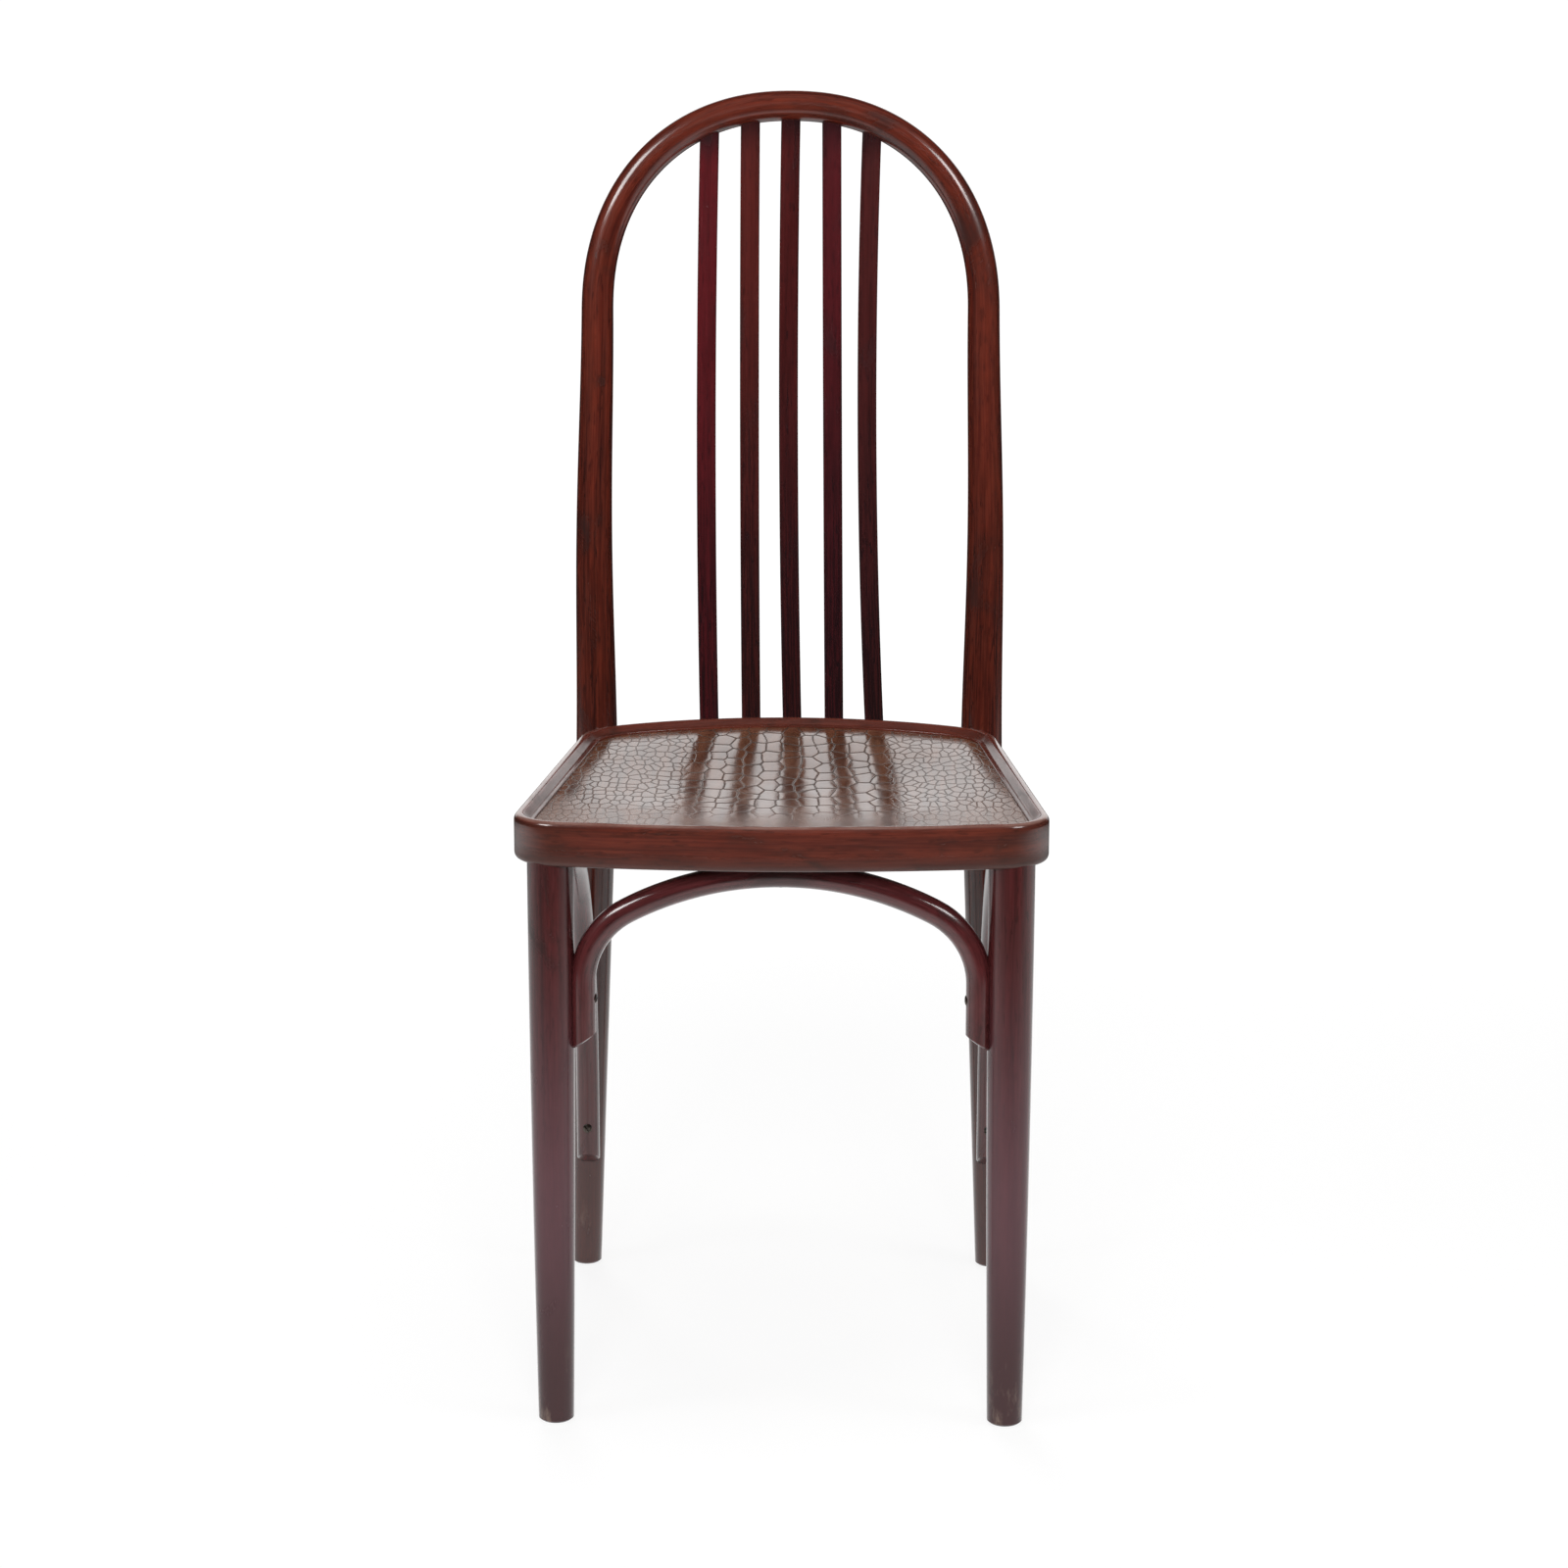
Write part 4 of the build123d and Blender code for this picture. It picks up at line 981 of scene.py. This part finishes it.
def screwAt(place, aim, length, turn, proud):
    # slotted, domed head turned about its axis, with a plain shank and a point; aim is the way the head faces
    half, shank = screw["head"] / 2, screw["shank"] / 2
    reach = np.array(screw["domeRings"])
    radius = np.concatenate([reach * half, [half, shank, shank, screw["point"]]])
    dome = screw["dome"] * np.sqrt(1 - (reach * screw["domeShare"]) ** 2)
    neck = -screw["rim"] - screw["neck"]
    height = np.concatenate([dome, [-screw["rim"], neck, screw["tip"] - length, -length]])
    angle = np.linspace(0, 2 * np.pi, screw["cols"], endpoint=False)
    across, sideways = radius[:, None] * np.cos(angle), radius[:, None] * np.sin(angle)
    outer, inner = (share * screw["slot"] for share in screw["slotEdge"])
    slotted = screw["slotDepth"] * smooth(outer, inner, np.abs(sideways))
    slotted[len(reach):] = 0
    level = height[:, None] - slotted + proud
    aim = unit(np.array(aim, float))
    skew = unit(np.cross(aim, [0.31, 0.52, 0.79]))  # square to the aim, from a way that no screw faces
    square = np.cross(aim, skew)
    first = skew * math.cos(turn) + square * math.sin(turn)
    second = square * math.cos(turn) - skew * math.sin(turn)
    points = np.array(place) + level[..., None] * aim
    points = points + across[..., None] * first + sideways[..., None] * second
    return surface(points, closed(points, 1))


def makeScrews(name, length, places):
    # one piece of like screws; a place is (point, way the head faces, turn of the slot, height above wood)
    heads = [screwAt(point, aim, length, turn, proud) for point, aim, turn, proud in places]
    makePiece(f"{name}_screw_heads", heads, f"{name}_screws", steel)


def frontLimbScrew(side):
    # on the inner face of a front brace's limb
    level = brace["frontEnd"] + brace["frontScrewRise"]
    point = np.array([side * (frontLimbX - braceHalf), legY(level), level])
    return point, (-side, 0, 0), screw["turns"]["front"], screw["stands"]["front"]


def sideLimbScrew(side, reach, level, way):
    # on a side brace's limb, at a reach along the brace; way is 1 where it faces the rear
    point = sideStart(side) + reach * sideAlong(side) + level * upright
    return point, way * sideAlong(side), screw["turns"]["side"] * side, screw["stands"]["side"]


def crownScrew(point, turn):
    # under a brace's crown, above a point on the floor
    return point + (braceCrown - braceHalf) * upright, -upright, turn, screw["stands"]["crown"]


def slatScrew(index):
    # on the rear face of a slat's foot, half way up the lap
    foot, top = slatEnds(index)
    share = slat["lap"] / 2 / (top - foot)[2]
    point = slatLine(index, np.array([share]))[0] + (0, slat["thick"] / 2, 0)
    return point, (0, 1, 0), index, screw["stands"]["slat"]


steel = agedSteel("aged_steel")
for nodeName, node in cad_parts.items():
    if nodeName.startswith("post_"):
        node.data.materials.clear()
        node.data.materials.append(steel)
sides = list(bothSides.values())
sideFrontLevel = brace["frontEnd"] + brace["sideScrewRise"]
frontCrown = np.array([0, legY(braceCrown - braceHalf), 0])
makeScrews("front_brace", screw["limbLength"], [frontLimbScrew(side) for side in sides])
makeScrews("side_brace_front", screw["limbLength"],
           [sideLimbScrew(side, braceHalf, sideFrontLevel, 1) for side in sides])
makeScrews("side_brace_rear", screw["limbLength"],
           [sideLimbScrew(side, sideSpan - braceHalf, rearScrewLevel, -1) for side in sides])
makeScrews("brace_crown", screw["crownLength"], [crownScrew(frontCrown, screw["turns"]["crown"])] + [
    crownScrew(sideStart(side) + brace["sideShoulder"] * sideAlong(side), side) for side in sides])
makeScrews("slat", screw["slatLength"], [slatScrew(index) for index in range(len(slat["sets"]))])
print("screws and bolts ready")


# Stage: pale floor, white surroundings, soft lamps

stage = {"floor": 700.0, "floorGlow": 0.8, "nearWhite": 1.03, "farWhite": 1.29, "whiteRun": (0.8, 4.0),
         "paperRun": (2.1, 0.5), "paperSquash": (0.35, 1.0, 1.0), "sweepRun": (0.8, 0.96),
         "skyFill": 0.16, "darkRoom": 0.025, "shine": 1.25}


def raysOf(wire):
    # masks of the rays that come from the camera and of those that come from a gloss
    return [wire.node("ShaderNodeLightPath", {}, {}, kind) for kind in ("Is Camera Ray", "Is Glossy Ray")]


def makeFloor():
    # a flat sheet that reads white to the camera and still takes the chair's shadow
    half = stage["floor"] / 2
    mesh = bpy.data.meshes.new("floor")
    corners = [(-half, -half, 0), (half, -half, 0), (half, half, 0), (-half, half, 0)]
    mesh.from_pydata(corners, [], [(0, 1, 2, 3)])
    floor = addObject("floor", mesh)
    material, shader, place = newMaterial("floor_white", {"Base Color": (0.8, 0.8, 0.8, 1), "Roughness": 0.9})
    camera, glossy = raysOf(place)
    paper = place.stretched(stage["paperSquash"]).length()
    paper = paper.ramp(*stage["paperRun"], stage["darkRoom"], stage["shine"])
    white = place.length().ramp(*stage["whiteRun"], stage["nearWhite"], stage["farWhite"])
    glow = place.node("ShaderNodeEmission", {}, {"Color": camera * white + glossy * paper, "Strength": 1.0})
    both = place.node("ShaderNodeMixShader", {}, {0: camera * stage["floorGlow"] + glossy,
                                                  1: Wire(place.tree, shader.outputs[0]), 2: glow})
    place.tree.links.new(both.out, place.tree.nodes["Material Output"].inputs["Surface"])
    mesh.materials.append(material)


def makeWorld():
    # white to the camera; reflections see the white sweep behind and a dark room in front
    world = bpy.data.worlds.new("studio")
    bpy.context.scene.world = world
    world.use_nodes = True
    wire = Wire(world.node_tree)
    camera, glossy = raysOf(wire)
    back = wire.node("ShaderNodeTexCoord", {}, {}, "Generated").axis(1)
    room = back.ramp(*stage["sweepRun"], stage["darkRoom"], stage["shine"])
    strength = camera + (1 - camera) * (glossy * room + (1 - glossy) * stage["skyFill"])
    background = wire.tree.nodes["Background"]
    background.inputs["Color"].default_value = (1, 1, 1, 1)
    wire.tree.links.new(strength.out, background.inputs["Strength"])


def makeLamp(name, place, target, size, power, shows=False):
    # soft lamp that lights the chair, or one that only shows in its gloss
    data = bpy.data.lights.new(name, "AREA")
    data.shape = "RECTANGLE"
    data.size, data.size_y = size
    data.energy = power
    lamp = addObject(name, data)
    lamp.location = place
    lamp.visible_diffuse = not shows
    lamp.visible_glossy = shows
    lamp.rotation_euler = (Vector(target) - Vector(place)).to_track_quat("-Z", "Y").to_euler()


makeFloor()
makeWorld()

# place and target in metres, width and height, watts; the glints only show in the gloss
makeLamp("lamp_front", (0.0, -3.4, 2.3), (0, 0, 0.5), (1.6, 1.2), 100)
makeLamp("lamp_left", (-2.3, -1.2, 1.9), (0, 0, 0.5), (0.9, 1.8), 14)
makeLamp("lamp_right", (2.4, -0.9, 1.7), (0, 0, 0.5), (0.9, 1.8), 13)
makeLamp("lamp_top", (0.1, -0.3, 3.0), (0, 0, 0.4), (2.2, 1.6), 36)
makeLamp("glint_top", (0.1, -0.3, 3.0), (0, 0, 0.4), (2.2, 0.9), 14, True)
makeLamp("lamp_back", (-0.6, 2.9, 2.1), (0, 0, 0.5), (1.6, 1.2), 60)
makeLamp("glint_left", (-1.9, -1.5, 2.5), (0, 0, 0.7), (1.1, 0.9), 56, True)
makeLamp("glint_right", (2.0, -1.5, 2.6), (0, 0, 0.7), (0.9, 0.9), 42, True)
print("stage and lamps ready")


# Camera, from the fitted view; angles in degrees, focal length in pixels of the frame

view = {"place": (0.049914, -2.8418, 1.064212), "yaw": -1.032, "pitch": 12.228, "roll": 0.068,
        "focal": 3783.965, "frame": 1600, "sensor": 36.0, "far": 200.0}


def makeCamera():
    # looks ahead by yaw and pitch, then rolls about its own axis
    data = bpy.data.cameras.new("camera")
    data.sensor_width = view["sensor"]
    data.sensor_fit = "HORIZONTAL"
    data.lens = view["focal"] / view["frame"] * view["sensor"]
    data.clip_end = view["far"]
    camera = addObject("camera", data)
    yaw, pitch, roll = (math.radians(view[key]) for key in ("yaw", "pitch", "roll"))
    ahead = Vector((math.sin(yaw) * math.cos(pitch), math.cos(yaw) * math.cos(pitch), -math.sin(pitch)))
    right = Vector((math.cos(yaw), -math.sin(yaw), 0))
    up = right.cross(ahead)
    turned = Matrix((right, up, -ahead)).transposed() @ Matrix.Rotation(roll, 3, "Z")
    camera.matrix_world = Matrix.Translation(view["place"]) @ turned.to_4x4()
    bpy.context.scene.camera = camera


makeCamera()
bpy.context.scene.view_settings.view_transform = "Standard"
